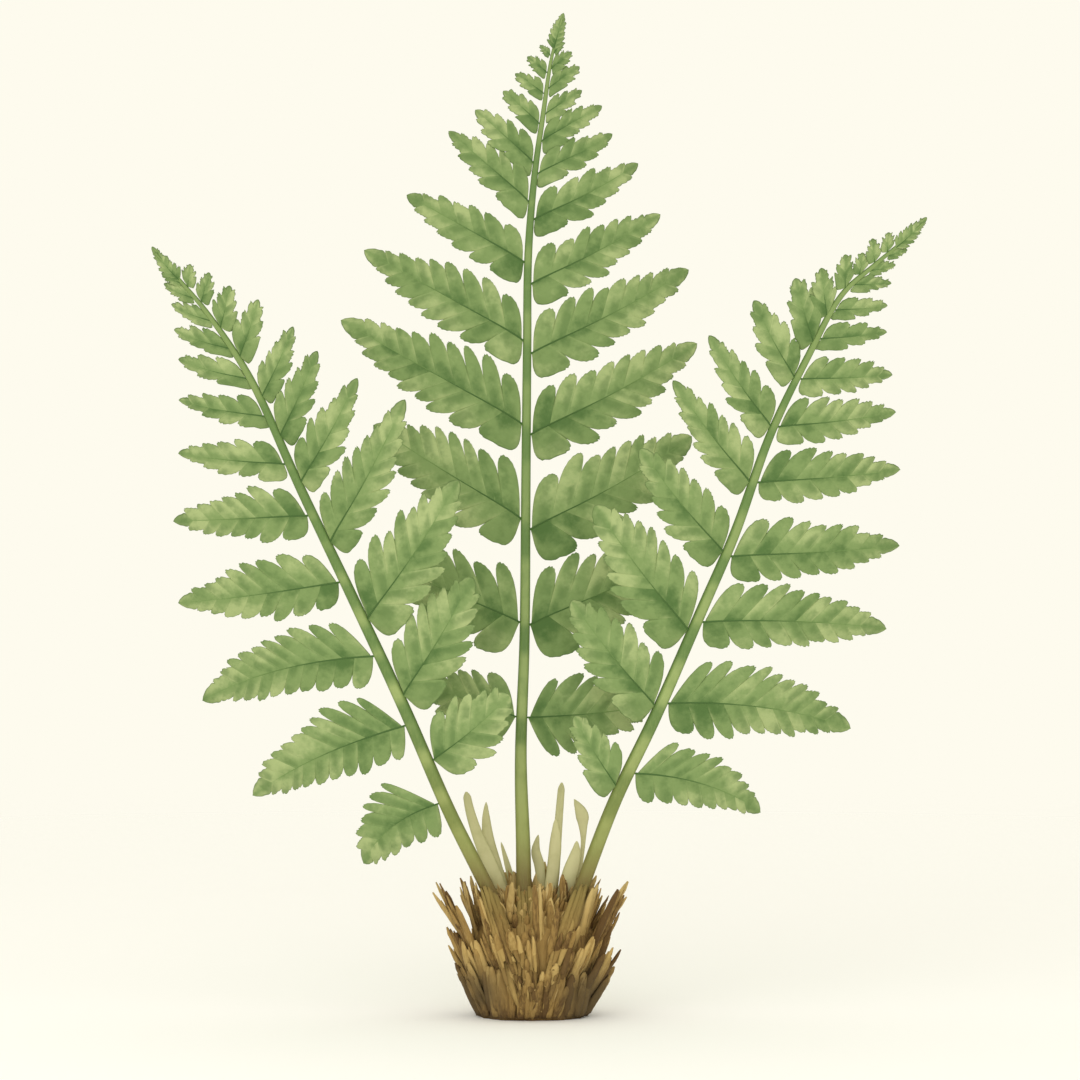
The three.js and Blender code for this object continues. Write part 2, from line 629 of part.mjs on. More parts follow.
/** Whole crown: its body and scales fused, with the plain holes that stipes and shoots stand in. */
function crownGeometry() {
  const random = seededRandom(CROWN_SEED);
  const bases = Array.from({ length: BASE_COUNT }, (_, index) => leafBase(index, random));
  const sockets = [
    ...FRONDS.map((frond) => stem(frond, 0, SOCKET_REACH, SOCKET_GAP)),
    ...SHOOTS.map((shoot) => shootGeometry(shoot, SOCKET_GAP)),
  ];
  return toGeometry(fuse([crownBody(), ...bases]).subtract(fuse(sockets)));
}

const fern = new THREE.Group();
fern.add(piece('crown', crownGeometry(), COLOURS.crown, 0.95));
FRONDS.forEach((frond, index) => {
  fern.add(piece(frond.name, frondGeometry(frond, index + 1), COLOURS.frond, 0.7));
});
SHOOTS.forEach((shoot, index) => {
  fern.add(piece(`shoot_${index + 1}`, shootGeometry(shoot), COLOURS.shoot, 0.8));
});

export default fern;
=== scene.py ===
"""Thick-stemmed wood fern: three lobed fronds and pale young shoots on a scaly brown crown.

Metres. +Z is up, +X is to the right and +Y is away from the viewer. The origin is the middle of
the flat cut foot that the crown stands on.
"""
import logging
import math
from dataclasses import dataclass
from enum import Enum

import bmesh
import bpy
import numpy as np
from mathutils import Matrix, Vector


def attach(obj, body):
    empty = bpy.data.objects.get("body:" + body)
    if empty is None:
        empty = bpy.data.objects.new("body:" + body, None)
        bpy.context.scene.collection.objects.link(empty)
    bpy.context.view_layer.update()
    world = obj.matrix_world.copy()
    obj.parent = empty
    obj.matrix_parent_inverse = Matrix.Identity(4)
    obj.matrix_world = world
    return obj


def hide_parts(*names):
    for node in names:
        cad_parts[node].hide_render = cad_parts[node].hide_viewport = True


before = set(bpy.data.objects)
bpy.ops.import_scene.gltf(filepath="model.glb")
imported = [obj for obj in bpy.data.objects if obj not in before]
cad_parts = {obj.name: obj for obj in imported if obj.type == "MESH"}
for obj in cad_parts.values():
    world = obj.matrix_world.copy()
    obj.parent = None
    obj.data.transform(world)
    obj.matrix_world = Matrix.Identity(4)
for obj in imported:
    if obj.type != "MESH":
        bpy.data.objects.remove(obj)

Socket = bpy.types.NodeSocket
LOG = logging.getLogger("fern")
MM = 0.001
BODY = "root"
UP = np.array([0.0, 0.0, 1.0])
AWAY = np.array([0.0, 1.0, 0.0])
GOLDEN_ANGLE = math.pi * (3 - math.sqrt(5))


class Half(Enum):
    """Half of a pinna: the one towards the frond's tip, or the one towards its foot."""

    UPPER = "upper"
    LOWER = "lower"


@dataclass(frozen=True)
class PinnaPlace:
    """Place of one pinna as the viewer sees it.

    Args:
        height: height of its root on the rachis.
        length: length of its midrib.
        angle: degrees from upright, with a plus sign to the right.
        broad: widening of the broad ones.
        bow: further bow of the midrib towards the frond's tip, over its length.
    """

    height: float
    length: float
    angle: float
    broad: float = 1.0
    bow: float = 0.0


@dataclass(frozen=True)
class FrondLayout:
    """Place and size of one frond.

    Args:
        name: name of the node that the frond stands for.
        rachis: X and Z of points from its foot in the crown to its tip.
        depth: offset, slope and arch of its distance from the viewer over its rise.
        radii: radius of the rachis at evenly spaced shares of it.
        twist: degrees by which its plane turns about the rachis.
        pinnae: its pinnae, one side after the other.
        seed: seed of its random draws, counted from one as in the solids.
    """

    name: str
    rachis: tuple[tuple[float, float], ...]
    depth: tuple[float, float, float]
    radii: tuple[float, ...]
    twist: float
    pinnae: tuple[PinnaPlace, ...]
    seed: int

    def spot(self, height: float) -> np.ndarray:
        """Point of the rachis at a height.

        Args:
            height: the height, within the rachis.

        Returns:
            The point.
        """
        offset, slope, arch = self.depth
        rise = height - self.rachis[0][1]
        side = float(np.interp(height, [z for _, z in self.rachis], [x for x, _ in self.rachis]))
        return np.array([side, offset + slope * rise + arch * rise**2, height])


def pinnae(*rows: tuple[float, ...]) -> tuple[PinnaPlace, ...]:
    """Pinna places from rows of height, length, angle and, where needed, widening and bow."""
    return tuple(PinnaPlace(*row) for row in rows)


FRONDS = (
    FrondLayout(
        name="frond_centre",
        rachis=(
            (-0.006, 0.060), (-0.007, 0.130), (-0.009, 0.206), (-0.006, 0.302), (-0.005, 0.420),
            (-0.004, 0.530), (-0.003, 0.610), (0.002, 0.672), (0.009, 0.722), (0.016, 0.768),
            (0.026, 0.805),
        ),
        depth=(0.008, 0.06, 0.18),
        radii=(0.0062, 0.0056, 0.0045, 0.0039, 0.0036, 0.0033, 0.0030, 0.0025, 0.0019, 0.0013, 0.0008),
        twist=0,
        pinnae=pinnae(
            (0.237, 0.080, -71, 1.9), (0.312, 0.130, -66, 1.45), (0.394, 0.147, -57, 1.25),
            (0.470, 0.175, -59.3), (0.537, 0.154, -59.3), (0.600, 0.115, -58.8, 1.06), (0.648, 0.092, -47),
            (0.680, 0.068, -46, 1.1), (0.712, 0.043, -46, 1.1), (0.737, 0.031, -53, 1.1),
            (0.754, 0.023, -49, 1.1), (0.768, 0.014, -43),
            (0.238, 0.106, 84.5, 1.65, -0.04), (0.310, 0.130, 66, 1.5), (0.386, 0.156, 59.5, 1.25, -0.02),
            (0.462, 0.159, 60.5, 1, -0.02), (0.527, 0.150, 61, 1, -0.02), (0.583, 0.124, 60.5, 1, -0.025),
            (0.635, 0.101, 60.5, 1, -0.03), (0.672, 0.073, 60.5, 1, -0.02), (0.698, 0.061, 58),
            (0.720, 0.039, 55), (0.741, 0.034, 53, 1.1), (0.757, 0.0245, 49, 1.1), (0.770, 0.014, 40),
        ),
        seed=1,
    ),
    FrondLayout(
        name="frond_left",
        rachis=(
            (-0.019, 0.062), (-0.033, 0.098), (-0.066, 0.166), (-0.102, 0.250), (-0.144, 0.342),
            (-0.183, 0.426), (-0.223, 0.516), (-0.255, 0.566), (-0.276, 0.592), (-0.299, 0.618),
        ),
        depth=(-0.009, -0.07, -0.22),
        radii=(0.0060, 0.0056, 0.0051, 0.0047, 0.0042, 0.0036, 0.0028, 0.0020, 0.0014, 0.0008),
        twist=14,
        pinnae=pinnae(
            (0.174, 0.087, -129, 1.7, 0.04), (0.237, 0.147, -116.6, 1.15),
            (0.292, 0.153, -106.7, 1.1, 0.035), (0.352, 0.139, -100, 1.05, -0.02),
            (0.405, 0.115, -95, 1.08), (0.446, 0.091, -87), (0.484, 0.074, -82), (0.514, 0.060, -77),
            (0.538, 0.049, -74), (0.560, 0.036, -70), (0.578, 0.028, -67), (0.590, 0.019, -66),
            (0.205, 0.083, 50, 1.8), (0.256, 0.111, 30, 1.45), (0.318, 0.133, 33, 1.25),
            (0.380, 0.128, 27.5, 0.97), (0.429, 0.094, 28.5), (0.466, 0.074, 23.5), (0.498, 0.061, 24),
            (0.530, 0.048, 18, 1.15), (0.553, 0.035, 12.5, 1.25), (0.574, 0.025, 16, 1.2),
            (0.586, 0.019, 6, 1.2),
        ),
        seed=2,
    ),
    FrondLayout(
        name="frond_right",
        rachis=(
            (0.024, 0.062), (0.037, 0.097), (0.066, 0.174), (0.098, 0.242), (0.134, 0.326),
            (0.161, 0.390), (0.189, 0.470), (0.217, 0.530), (0.245, 0.582), (0.270, 0.605),
            (0.290, 0.622), (0.311, 0.641),
        ),
        depth=(-0.009, -0.06, -0.2),
        radii=(
            0.0060, 0.0056, 0.0051, 0.0048, 0.0043, 0.0039, 0.0032, 0.0027, 0.0021, 0.0017, 0.0013,
            0.0008,
        ),
        twist=-14,
        pinnae=pinnae(
            (0.182, 0.069, -30, 1.35), (0.248, 0.109, -38, 1.35), (0.309, 0.125, -36.5, 1.35),
            (0.373, 0.106, -39, 1.2), (0.429, 0.101, -37), (0.474, 0.087, -34.5), (0.513, 0.069, -28, 1.2),
            (0.541, 0.053, -15, 1.3), (0.562, 0.039, -6, 1.25), (0.584, 0.028, 1, 1.2),
            (0.595, 0.019, 8, 1.2), (0.605, 0.020, -5, 1.2), (0.613, 0.017, 5, 1.2),
            (0.197, 0.116, 109, 1.2, 0.045), (0.253, 0.159, 100, 1.08, 0.035),
            (0.3185, 0.157, 94.5, 1, 0.02), (0.3715, 0.143, 89), (0.431, 0.121, 87.5), (0.4755, 0.100, 85.5),
            (0.514, 0.078, 90, 1.1), (0.546, 0.057, 87), (0.569, 0.045, 88), (0.589, 0.0325, 90),
            (0.600, 0.023, 80), (0.612, 0.018, 77),
        ),
        seed=3,
    ),
)


@dataclass(frozen=True)
class ShootLayout:
    """Spine of one young shoot from its foot to its tip, with its half width at each point."""

    spine: tuple[tuple[float, float, float], ...]
    half_widths: tuple[float, ...]


def shoot(spine: tuple[tuple[float, ...], ...], half_widths: tuple[float, ...]) -> ShootLayout:
    """Shoot layout from a spine and half widths in millimetres."""
    points = tuple(tuple(value * MM for value in point) for point in spine)
    return ShootLayout(points, tuple(value * MM for value in half_widths))


SHOOTS = (
    shoot(((-18, 16, 74), (-28, 20, 106), (-36, 22, 125), (-44, 25, 144), (-50, 27, 163), (-53, 28, 178)),
          (4, 6.5, 6, 4.5, 3.8, 3)),
    shoot(((-15, 24, 74), (-24, 28, 98), (-30, 31, 118), (-35, 33, 138), (-37, 35, 156), (-37, 36, 169)),
          (4, 6, 6, 5, 3.4, 0.8)),
    shoot(((-7, 30, 76), (-12, 34, 92), (-17, 37, 108), (-21, 40, 122), (-25, 42, 136)),
          (3, 3.6, 3, 2.2, 0.8)),
    shoot(((4, 22, 76), (7, 26, 100), (6, 29, 118), (3, 31, 130), (5, 32, 143)),
          (3.5, 3.5, 4.4, 4, 0.8)),
    shoot(((11, 10, 74), (14, 13, 98), (17, 15, 118), (19, 17, 140), (19, 18, 157)),
          (4, 5, 5.2, 5, 1.2)),
    shoot(((14, 28, 76), (18, 34, 108), (20, 38, 134), (22, 42, 160), (24, 45, 184)),
          (3.5, 4, 3.6, 3.2, 2.8)),
    shoot(((24, 18, 76), (36, 22, 106), (41, 24, 136), (41, 26, 150), (40, 27, 160), (34, 28, 172)),
          (3, 2, 1.6, 3.4, 6.2, 0.8)),
    shoot(((18, 3, 74), (26, 5, 98), (31, 6, 116), (35, 8, 130), (36, 9, 140)),
          (4, 6.5, 6.5, 4.5, 1)),
)


class Draws:
    """Repeatable random numbers from -1 to 1, the same ones as the solids were made with."""

    FACTOR = 1664525
    STEP = 1013904223
    RANGE = 4294967296

    def __init__(self, seed: int) -> None:
        """Starts the row of numbers at a seed."""
        self.state = seed

    def next(self) -> float:
        """Next number of the row."""
        self.state = (self.state * self.FACTOR + self.STEP) % self.RANGE
        return 2 * self.state / self.RANGE - 1


def unit(vector: np.ndarray) -> np.ndarray:
    """Vector of the same direction, one long."""
    return vector / np.linalg.norm(vector)


def along_knots(knots: tuple[float, ...], share: float) -> float:
    """Value on the polyline through evenly spaced knots, at a share from 0 to 1."""
    return float(np.interp(share * (len(knots) - 1), range(len(knots)), knots))


def turned(vector: np.ndarray, axis: np.ndarray, angle: float) -> np.ndarray:
    """Vector turned about a unit axis by an angle in radians."""
    cos, sin = math.cos(angle), math.sin(angle)
    return vector * cos + np.cross(axis, vector) * sin + axis * (axis @ vector) * (1 - cos)


class SmoothPath:
    """Smooth path through points, a centripetal spline that passes through each of them."""

    STEPS = 200
    TANGENT_STEP = 1e-4
    HALVINGS = 24

    def __init__(self, points: list[np.ndarray]) -> None:
        """Keeps the points, with one more past each end, and measures the path.

        Args:
            points: two or more points, in order.
        """
        inner = [np.array(point, float) for point in points]
        first = 2 * inner[0] - inner[1]
        last = 2 * inner[-1] - inner[-2]
        self.points = [first, *inner, last]
        self.spans = len(inner) - 1
        spots = [self.point(step / self.STEPS) for step in range(self.STEPS + 1)]
        steps = [float(np.linalg.norm(b - a)) for a, b in zip(spots, spots[1:])]
        self.reached = np.concatenate([[0.0], np.cumsum(steps)])
        self.length = float(self.reached[-1])

    def point(self, share: float) -> np.ndarray:
        """Point at a share of the path's spans.

        Args:
            share: share of the spans, from 0 to 1.

        Returns:
            The point.
        """
        place = min(max(share, 0.0), 1.0) * self.spans
        span = min(int(place), self.spans - 1)
        weight = place - span
        p0, p1, p2, p3 = self.points[span:span + 4]
        d0, d1, d2 = (math.sqrt(np.linalg.norm(b - a)) for a, b in ((p0, p1), (p1, p2), (p2, p3)))
        start = ((p1 - p0) / d0 - (p2 - p0) / (d0 + d1) + (p2 - p1) / d1) * d1
        end = ((p2 - p1) / d1 - (p3 - p1) / (d1 + d2) + (p3 - p2) / d2) * d1
        square = -3 * p1 + 3 * p2 - 2 * start - end
        cube = 2 * p1 - 2 * p2 + start + end
        return p1 + weight * (start + weight * (square + weight * cube))

    def tangent(self, share: float) -> np.ndarray:
        """Direction of travel at a share of the path's spans."""
        low, high = max(share - self.TANGENT_STEP, 0.0), min(share + self.TANGENT_STEP, 1.0)
        return unit(self.point(high) - self.point(low))

    def share_at_length(self, share: float) -> float:
        """Share of the spans at which a share of the length is passed."""
        return float(np.interp(share * self.length, self.reached, np.linspace(0, 1, self.STEPS + 1)))

    def share_at_height(self, height: float) -> float:
        """Share of the spans at which the path passes a height, by halving.

        Args:
            height: the height.

        Returns:
            The share, from 0 to 1.
        """
        low, high = 0.0, 1.0
        for _ in range(self.HALVINGS):
            middle = (low + high) / 2
            if self.point(middle)[2] < height:
                low = middle
            else:
                high = middle
        return (low + high) / 2


@dataclass(frozen=True)
class BladeShape:
    """Proportions of a pinna's blade, as shares of its length unless a name says otherwise."""

    upper_half_width: float = 0.19
    lower_half_width: float = 0.172
    short_length: float = 0.030
    short_extra: float = 0.9
    lobed: float = 0.85
    lobe_length: float = 0.0165
    steep_lobe_extra: float = 0.004
    lobe_shrink: float = 0.985
    lobe_off_rachis: float = math.radians(12)
    least_lobe_angle: float = 0.6
    most_lobe_angle: float = 0.85
    level_slant: float = 0.35
    steep_slant: float = 0.8
    upper_root_slant: float = 0.38
    off_rachis: float = math.radians(1)
    steep_root_slant: float = 0.15
    fan_share: float = 0.25
    steep_squeeze: tuple[float, float] = (0.1, 0.0)
    level_squeeze: tuple[float, float] = (0.4, 0.15)
    upper_stalk: float = 0.0015
    full_stalk_length: float = 0.1
    level: float = math.radians(88)
    steep: float = math.radians(60)
    steepest: float = 1.3
    reach_fall: float = 1.5
    reach_at_root: float = 0.78
    steep_reach_gain: float = -0.04
    reach_rise: float = 2.0
    notch_root: float = 0.5
    notch_tip: float = 0.8
    notch_share: float = 0.55
    stalk_half_width: float = 0.0013
    spring: float = 0.16
    spring_share: float = 0.15
    fold: float = 0.16
    ripple: float = 0.0022
    tilt: float = 0.05
    bend_steep: float = -0.015
    bend_level: float = 0.095
    bend_from: float = 60
    bend_range: float = 70
    arch: float = 0.12
    arch_swell: float = 2.4
    thickness: float = 0.0006
    rim_thickness: float = 0.0004


SHAPE = BladeShape()


@dataclass
class PinnaFrame:
    """One pinna's own directions and sizes, and the surface that its blade lies in."""

    root: np.ndarray
    along: np.ndarray
    up: np.ndarray
    facing: np.ndarray
    length: float
    width: float
    start: float
    lobes: int
    upper_side: float
    upper_slant: float
    upper_root_slant: float
    lower_slant: float
    steepness: float
    bow: float
    tilt: float

    def surface(self, along: np.ndarray, out: np.ndarray) -> np.ndarray:
        """Points of the blade's middle surface.

        Args:
            along: distances along the midrib.
            out: signed distances from the midrib, plus towards the frame's up.

        Returns:
            One point for each pair, with X, Y and Z last.
        """
        share = along / self.length
        rise = 4 * self.bow * share * (1 - share)
        rise = rise + SHAPE.spring * self.steepness * share * np.exp(-share / SHAPE.spring_share)
        rise = rise * self.length * self.upper_side
        arch = SHAPE.arch * self.length * (SHAPE.arch_swell * share * (1 - share) - share * share)
        drop = arch - SHAPE.fold * np.abs(out) + self.tilt * out
        return (self.root + np.multiply.outer(along, self.along)
                + np.multiply.outer(out + rise, self.up) + np.multiply.outer(drop, self.facing))


@dataclass
class HalfGrid:
    """Grid of one half of a blade: columns from root to tip, rows from midrib to margin."""

    along: np.ndarray
    out: np.ndarray
    across: np.ndarray
    row: np.ndarray
    rim: np.ndarray
    tone: np.ndarray
    lift: np.ndarray


class HalfBlade:
    """Lobes of one half of a blade, with round ends and finely scalloped margins."""

    ROWS = np.array([0, 0.17, 0.35, 0.52, 0.68, 0.82, 0.93, 1.0])
    TIP_COLUMNS = 10
    SQUARENESS = 0.86
    HUGGING_SQUARENESS = 0.9
    ROUNDNESS = 0.74
    GAP = 0.16
    SCALLOP = 0.0015
    SCALLOP_LENGTH = 0.0045
    UNEVEN = 0.14
    UNEVEN_REACH = 0.10
    UNEVEN_NOTCH = 0.10
    UPPER_HUG = 0.25
    LOWER_HUG = 2.0
    SHALLOWEST_NOTCH = 0.9
    TIP_LEAN = 0.8
    COLUMN_LENGTH = 0.0015
    COLUMNS = (10, 40)
    SKEW = 0.1
    PILLOW = 0.004
    MOST_PILLOW = 0.0006
    CREASE = 0.00012
    CREASE_WIDTH = 0.2
    CURL = 0.0007

    def __init__(self, pinna: PinnaFrame, half: Half, random: np.random.RandomState) -> None:
        """Works out where the lobes of this half stand.

        Args:
            pinna: the pinna's frame.
            half: which half it is.
            random: source of its uneven lobes.
        """
        self.pinna = pinna
        self.random = random
        upper = half is Half.UPPER
        self.half_width = pinna.width * (SHAPE.upper_half_width if upper else SHAPE.lower_half_width)
        self.slant = pinna.upper_slant if upper else pinna.lower_slant
        steep = min(pinna.steepness, 1)
        self.drawn_back = self.slant - pinna.upper_root_slant
        if not upper:
            self.drawn_back = steep * (self.slant - SHAPE.steep_root_slant)
        self.hug = steep * (self.UPPER_HUG if upper else self.LOWER_HUG)
        self.reach_at_root = SHAPE.reach_at_root + (0.0 if upper else SHAPE.steep_reach_gain * steep)
        widths = SHAPE.lobe_shrink ** np.arange(pinna.lobes)
        widths = widths * (1 + self.UNEVEN * random.uniform(-1, 1, pinna.lobes))
        squeeze = steep * np.array(SHAPE.steep_squeeze)
        if upper:
            squeeze = (1 - steep) * np.array(SHAPE.level_squeeze)
        widths[:2] = widths[:2] * (1 - squeeze)
        passed = np.concatenate([[0.0], np.cumsum(widths)]) / widths.sum()
        start = pinna.start
        if upper:
            start = start + SHAPE.upper_stalk * min(1.0, pinna.length / SHAPE.full_stalk_length)
        end = pinna.length * SHAPE.lobed
        self.stations = start + (end - start) * passed
        self.notch_depths = 1 + self.UNEVEN_NOTCH * random.uniform(-1, 1, pinna.lobes + 1)

    def reach(self, place: float) -> float:
        """Reach of the lobes outwards.

        Args:
            place: distance along the midrib.

        Returns:
            The reach.
        """
        share = place / self.pinna.length
        swell = min(1.0, self.reach_at_root + SHAPE.reach_rise * share)
        return self.half_width * self.pinna.length * math.cos(SHAPE.reach_fall * share) * swell

    def notch(self, index: int) -> float:
        """Distance from the midrib to the bottom of a notch.

        Args:
            index: number of the notch, from the root.

        Returns:
            The distance.
        """
        if index == 0:
            return SHAPE.stalk_half_width
        place = self.stations[index]
        share = place / self.pinna.length
        depth = SHAPE.notch_root + (SHAPE.notch_tip - SHAPE.notch_root) * min(1, share / SHAPE.notch_share)
        return self.reach(place) * min(self.SHALLOWEST_NOTCH, depth * self.notch_depths[index])

    def lean(self, place: np.ndarray) -> np.ndarray:
        """How far the blade leans towards its tip, over its reach.

        Args:
            place: distances along the midrib.

        Returns:
            The lean at each.
        """
        share = place / self.pinna.length
        opened = np.clip(share / SHAPE.fan_share, 0, 1)
        opened_slant = self.slant - self.drawn_back * (1 - opened)
        return opened_slant + self.TIP_LEAN * (1 - self.slant) * share

    def lobe_margin(self, index: int) -> tuple[np.ndarray, np.ndarray, np.ndarray, np.ndarray]:
        """Margin of one lobe, without its last point.

        Args:
            index: number of the lobe, from the root.

        Returns:
            Place on the midrib, place of the margin, reach of the margin, and the share across.
        """
        low, high = self.stations[index], self.stations[index + 1]
        width = high - low
        top = self.reach(low + width / 2) * (1 + self.UNEVEN_REACH * self.random.uniform(-1, 1))
        girth = 2 * (top - self.notch(index + 1)) + width
        columns = int(np.clip(round(girth / self.COLUMN_LENGTH), *self.COLUMNS))
        share = np.arange(columns) / columns
        turn = math.pi * (1 - share)
        hugs = index == 0 and self.hug > 0
        square = np.where(hugs & (share < 0.5), self.HUGGING_SQUARENESS, self.SQUARENESS)
        side = np.sign(np.cos(turn)) * np.abs(np.cos(turn)) ** square
        climb = np.sin(turn) ** self.ROUNDNESS
        floor = self.notch(index) + (self.notch(index + 1) - self.notch(index)) * (side + 1) / 2
        reach = floor + (top - floor) * climb
        teeth = max(3, round(girth / self.SCALLOP_LENGTH))
        phase = teeth * share + 0.35 * np.sin(2 * math.pi * share + self.random.uniform(0, 6))
        bite = np.abs(np.sin(math.pi * (phase + self.random.uniform(0, 1))))
        reach = reach + self.SCALLOP * (bite - 0.6) * climb * self.random.uniform(0.5, 1)
        bulge = np.where(hugs & (side < 0), 1 + self.hug * climb, 1 - self.GAP * climb)
        skew = self.SKEW * self.random.uniform(-0.2, 1) * climb ** 2
        place = low + width * (0.5 + 0.5 * side * bulge + skew)
        return low + width * share, place, reach, 2 * share - 1

    def grid(self) -> HalfGrid:
        """Whole half of the blade.

        Returns:
            Its grid of places, with what its finish and its relief need at each.
        """
        foot, margin_along, margin_out, across, tone, alternate = [], [], [], [], [], []
        for index in range(self.pinna.lobes):
            base, place, reach, side = self.lobe_margin(index)
            foot.append(base)
            margin_along.append(place + reach * self.lean(place))
            margin_out.append(reach)
            across.append(side)
            tone.append(np.full(len(base), self.random.uniform(0, 1)))
            alternate.append(np.full(len(base), (1 if index % 2 == 0 else -1) + self.random.uniform(-1, 1)))
        last = self.stations[-1]
        notch = self.notch(self.pinna.lobes)
        share = np.linspace(0, 1, self.TIP_COLUMNS)
        beyond = last + notch * self.lean(last)
        ripple = 1 + 0.2 * np.abs(np.sin(share * 8)) * (1 - share)
        foot.append(last + (self.pinna.length - last) * share ** 0.85)
        margin_along.append(beyond + (self.pinna.length - beyond) * share)
        margin_out.append(notch * (1 - share ** 2.2) ** 0.7 * ripple)
        across.append(np.full(self.TIP_COLUMNS, 0.5))
        tone.append(np.full(self.TIP_COLUMNS, 0.45))
        alternate.append(np.zeros(self.TIP_COLUMNS))
        foot_along, rim_along, rim_out = (np.concatenate(part) for part in (foot, margin_along, margin_out))
        ruling = np.hypot(rim_along - foot_along, rim_out)
        rows = self.ROWS[None, :]
        one = np.ones_like(rows)
        side = np.concatenate(across)[:, None] * one
        step = np.concatenate(alternate)[:, None] * one
        size = self.pinna.length
        pillow = (1 - side ** 2) * 4 * rows * (1 - rows) * min(self.MOST_PILLOW, self.PILLOW * size)
        crease = -self.CREASE * np.exp(-(side / self.CREASE_WIDTH) ** 2) * np.sqrt(rows) * (1.15 - rows)
        curl = -self.CURL * rows ** 4
        return HalfGrid(
            along=foot_along[:, None] + (rim_along - foot_along)[:, None] * rows,
            out=rim_out[:, None] * rows,
            across=side,
            row=np.broadcast_to(rows, side.shape),
            rim=(1 - rows) * ruling[:, None],
            tone=np.concatenate(tone)[:, None] * one,
            lift=pillow + crease + curl + SHAPE.ripple * size * step * rows,
        )


def linked(name: str, data: object) -> bpy.types.Object:
    """Makes the object of a mesh, a lamp or a camera.

    Args:
        name: its name.
        data: the mesh, the lamp or the camera.

    Returns:
        The object, linked to the scene.
    """
    item = bpy.data.objects.new(name, data)
    bpy.context.scene.collection.objects.link(item)
    return item


def join_doubles(data: bpy.types.Mesh, distance: float) -> None:
    """Joins points of a mesh that lie closer than a distance.

    Args:
        data: the mesh, which is changed.
        distance: the distance.
    """
    sheet = bmesh.new()
    sheet.from_mesh(data)
    bmesh.ops.remove_doubles(sheet, verts=sheet.verts, dist=distance)
    bmesh.ops.dissolve_degenerate(sheet, edges=sheet.edges, dist=distance)
    sheet.to_mesh(data)
    sheet.free()


class PointSet:
    """Points of one mesh, the edges or faces between them, and the values that they carry."""

    def __init__(self) -> None:
        """Starts an empty set."""
        self.points: list[np.ndarray] = []
        self.edges: list[tuple[int, int]] = []
        self.faces: list[np.ndarray] = []
        self.values: dict[str, list[np.ndarray]] = {}
        self.count = 0

    def add(self, points: np.ndarray, faces: np.ndarray | None = None, **values: np.ndarray) -> None:
        """Adds points, and the faces between them where there are any.

        Args:
            points: the points, one row each.
            faces: four-cornered faces, counted from the first of these points.
            values: a number or a vector for each point, by name.
        """
        self.points.append(points)
        if faces is not None:
            self.faces.append(faces + self.count)
        for name, rows in values.items():
            self.values.setdefault(name, []).append(rows)
        self.count += len(points)

    def add_path(self, points: np.ndarray, **values: np.ndarray) -> None:
        """Adds a path, with an edge from each point to the next.

        Args:
            points: its points in order.
            values: a number or a vector for each point, by name.
        """
        last = self.count + len(points) - 1
        self.edges.extend((start, start + 1) for start in range(self.count, last))
        self.add(points, **values)

    def item(self, name: str, merge: float = 0.0) -> bpy.types.Object:
        """Object with the collected mesh.

        Args:
            name: the object's name.
            merge: distance under which points are joined.

        Returns:
            The object, linked to the scene.
        """
        data = bpy.data.meshes.new(name)
        faces = np.concatenate(self.faces).tolist() if self.faces else []
        data.from_pydata(np.concatenate(self.points).tolist(), self.edges, faces)
        for label, parts in self.values.items():
            values = np.concatenate(parts).astype(np.float32)
            kind, field = ("FLOAT_VECTOR", "vector") if values.ndim == 2 else ("FLOAT", "value")
            data.attributes.new(label, kind, "POINT").data.foreach_set(field, values.ravel())
        if merge:
            join_doubles(data, merge)
        data.validate()
        return linked(name, data)


def grid_faces(columns: int, rows: int, flip: bool) -> np.ndarray:
    """Four-cornered faces of a grid of points in column order.

    Args:
        columns: points along the grid.
        rows: points across it.
        flip: whether the faces look the other way.

    Returns:
        The faces, one row each.
    """
    column, row = np.meshgrid(np.arange(columns - 1), np.arange(rows - 1), indexing="ij")
    first = (column * rows + row).ravel()
    quads = np.stack([first, first + rows, first + rows + 1, first + 1], axis=1)
    return quads[:, ::-1] if flip else quads


def wall_faces(edge: np.ndarray, count: int, flip: bool) -> np.ndarray:
    """Faces between a line of front points and the same points of the back."""
    quads = np.stack([edge[:-1], edge[1:], edge[1:] + count, edge[:-1] + count], axis=1)
    return quads[:, ::-1] if flip else quads


def linear(code: str) -> tuple[float, float, float, float]:
    """Colour for a shader from its screen code.

    Args:
        code: the six figures of the code.

    Returns:
        Red, green and blue as light, and a full cover.
    """
    parts = [int(code[index:index + 2], 16) / 255 for index in (0, 2, 4)]
    low = [part / 12.92 if part <= 0.04045 else ((part + 0.055) / 1.055) ** 2.4 for part in parts]
    return (*low, 1.0)


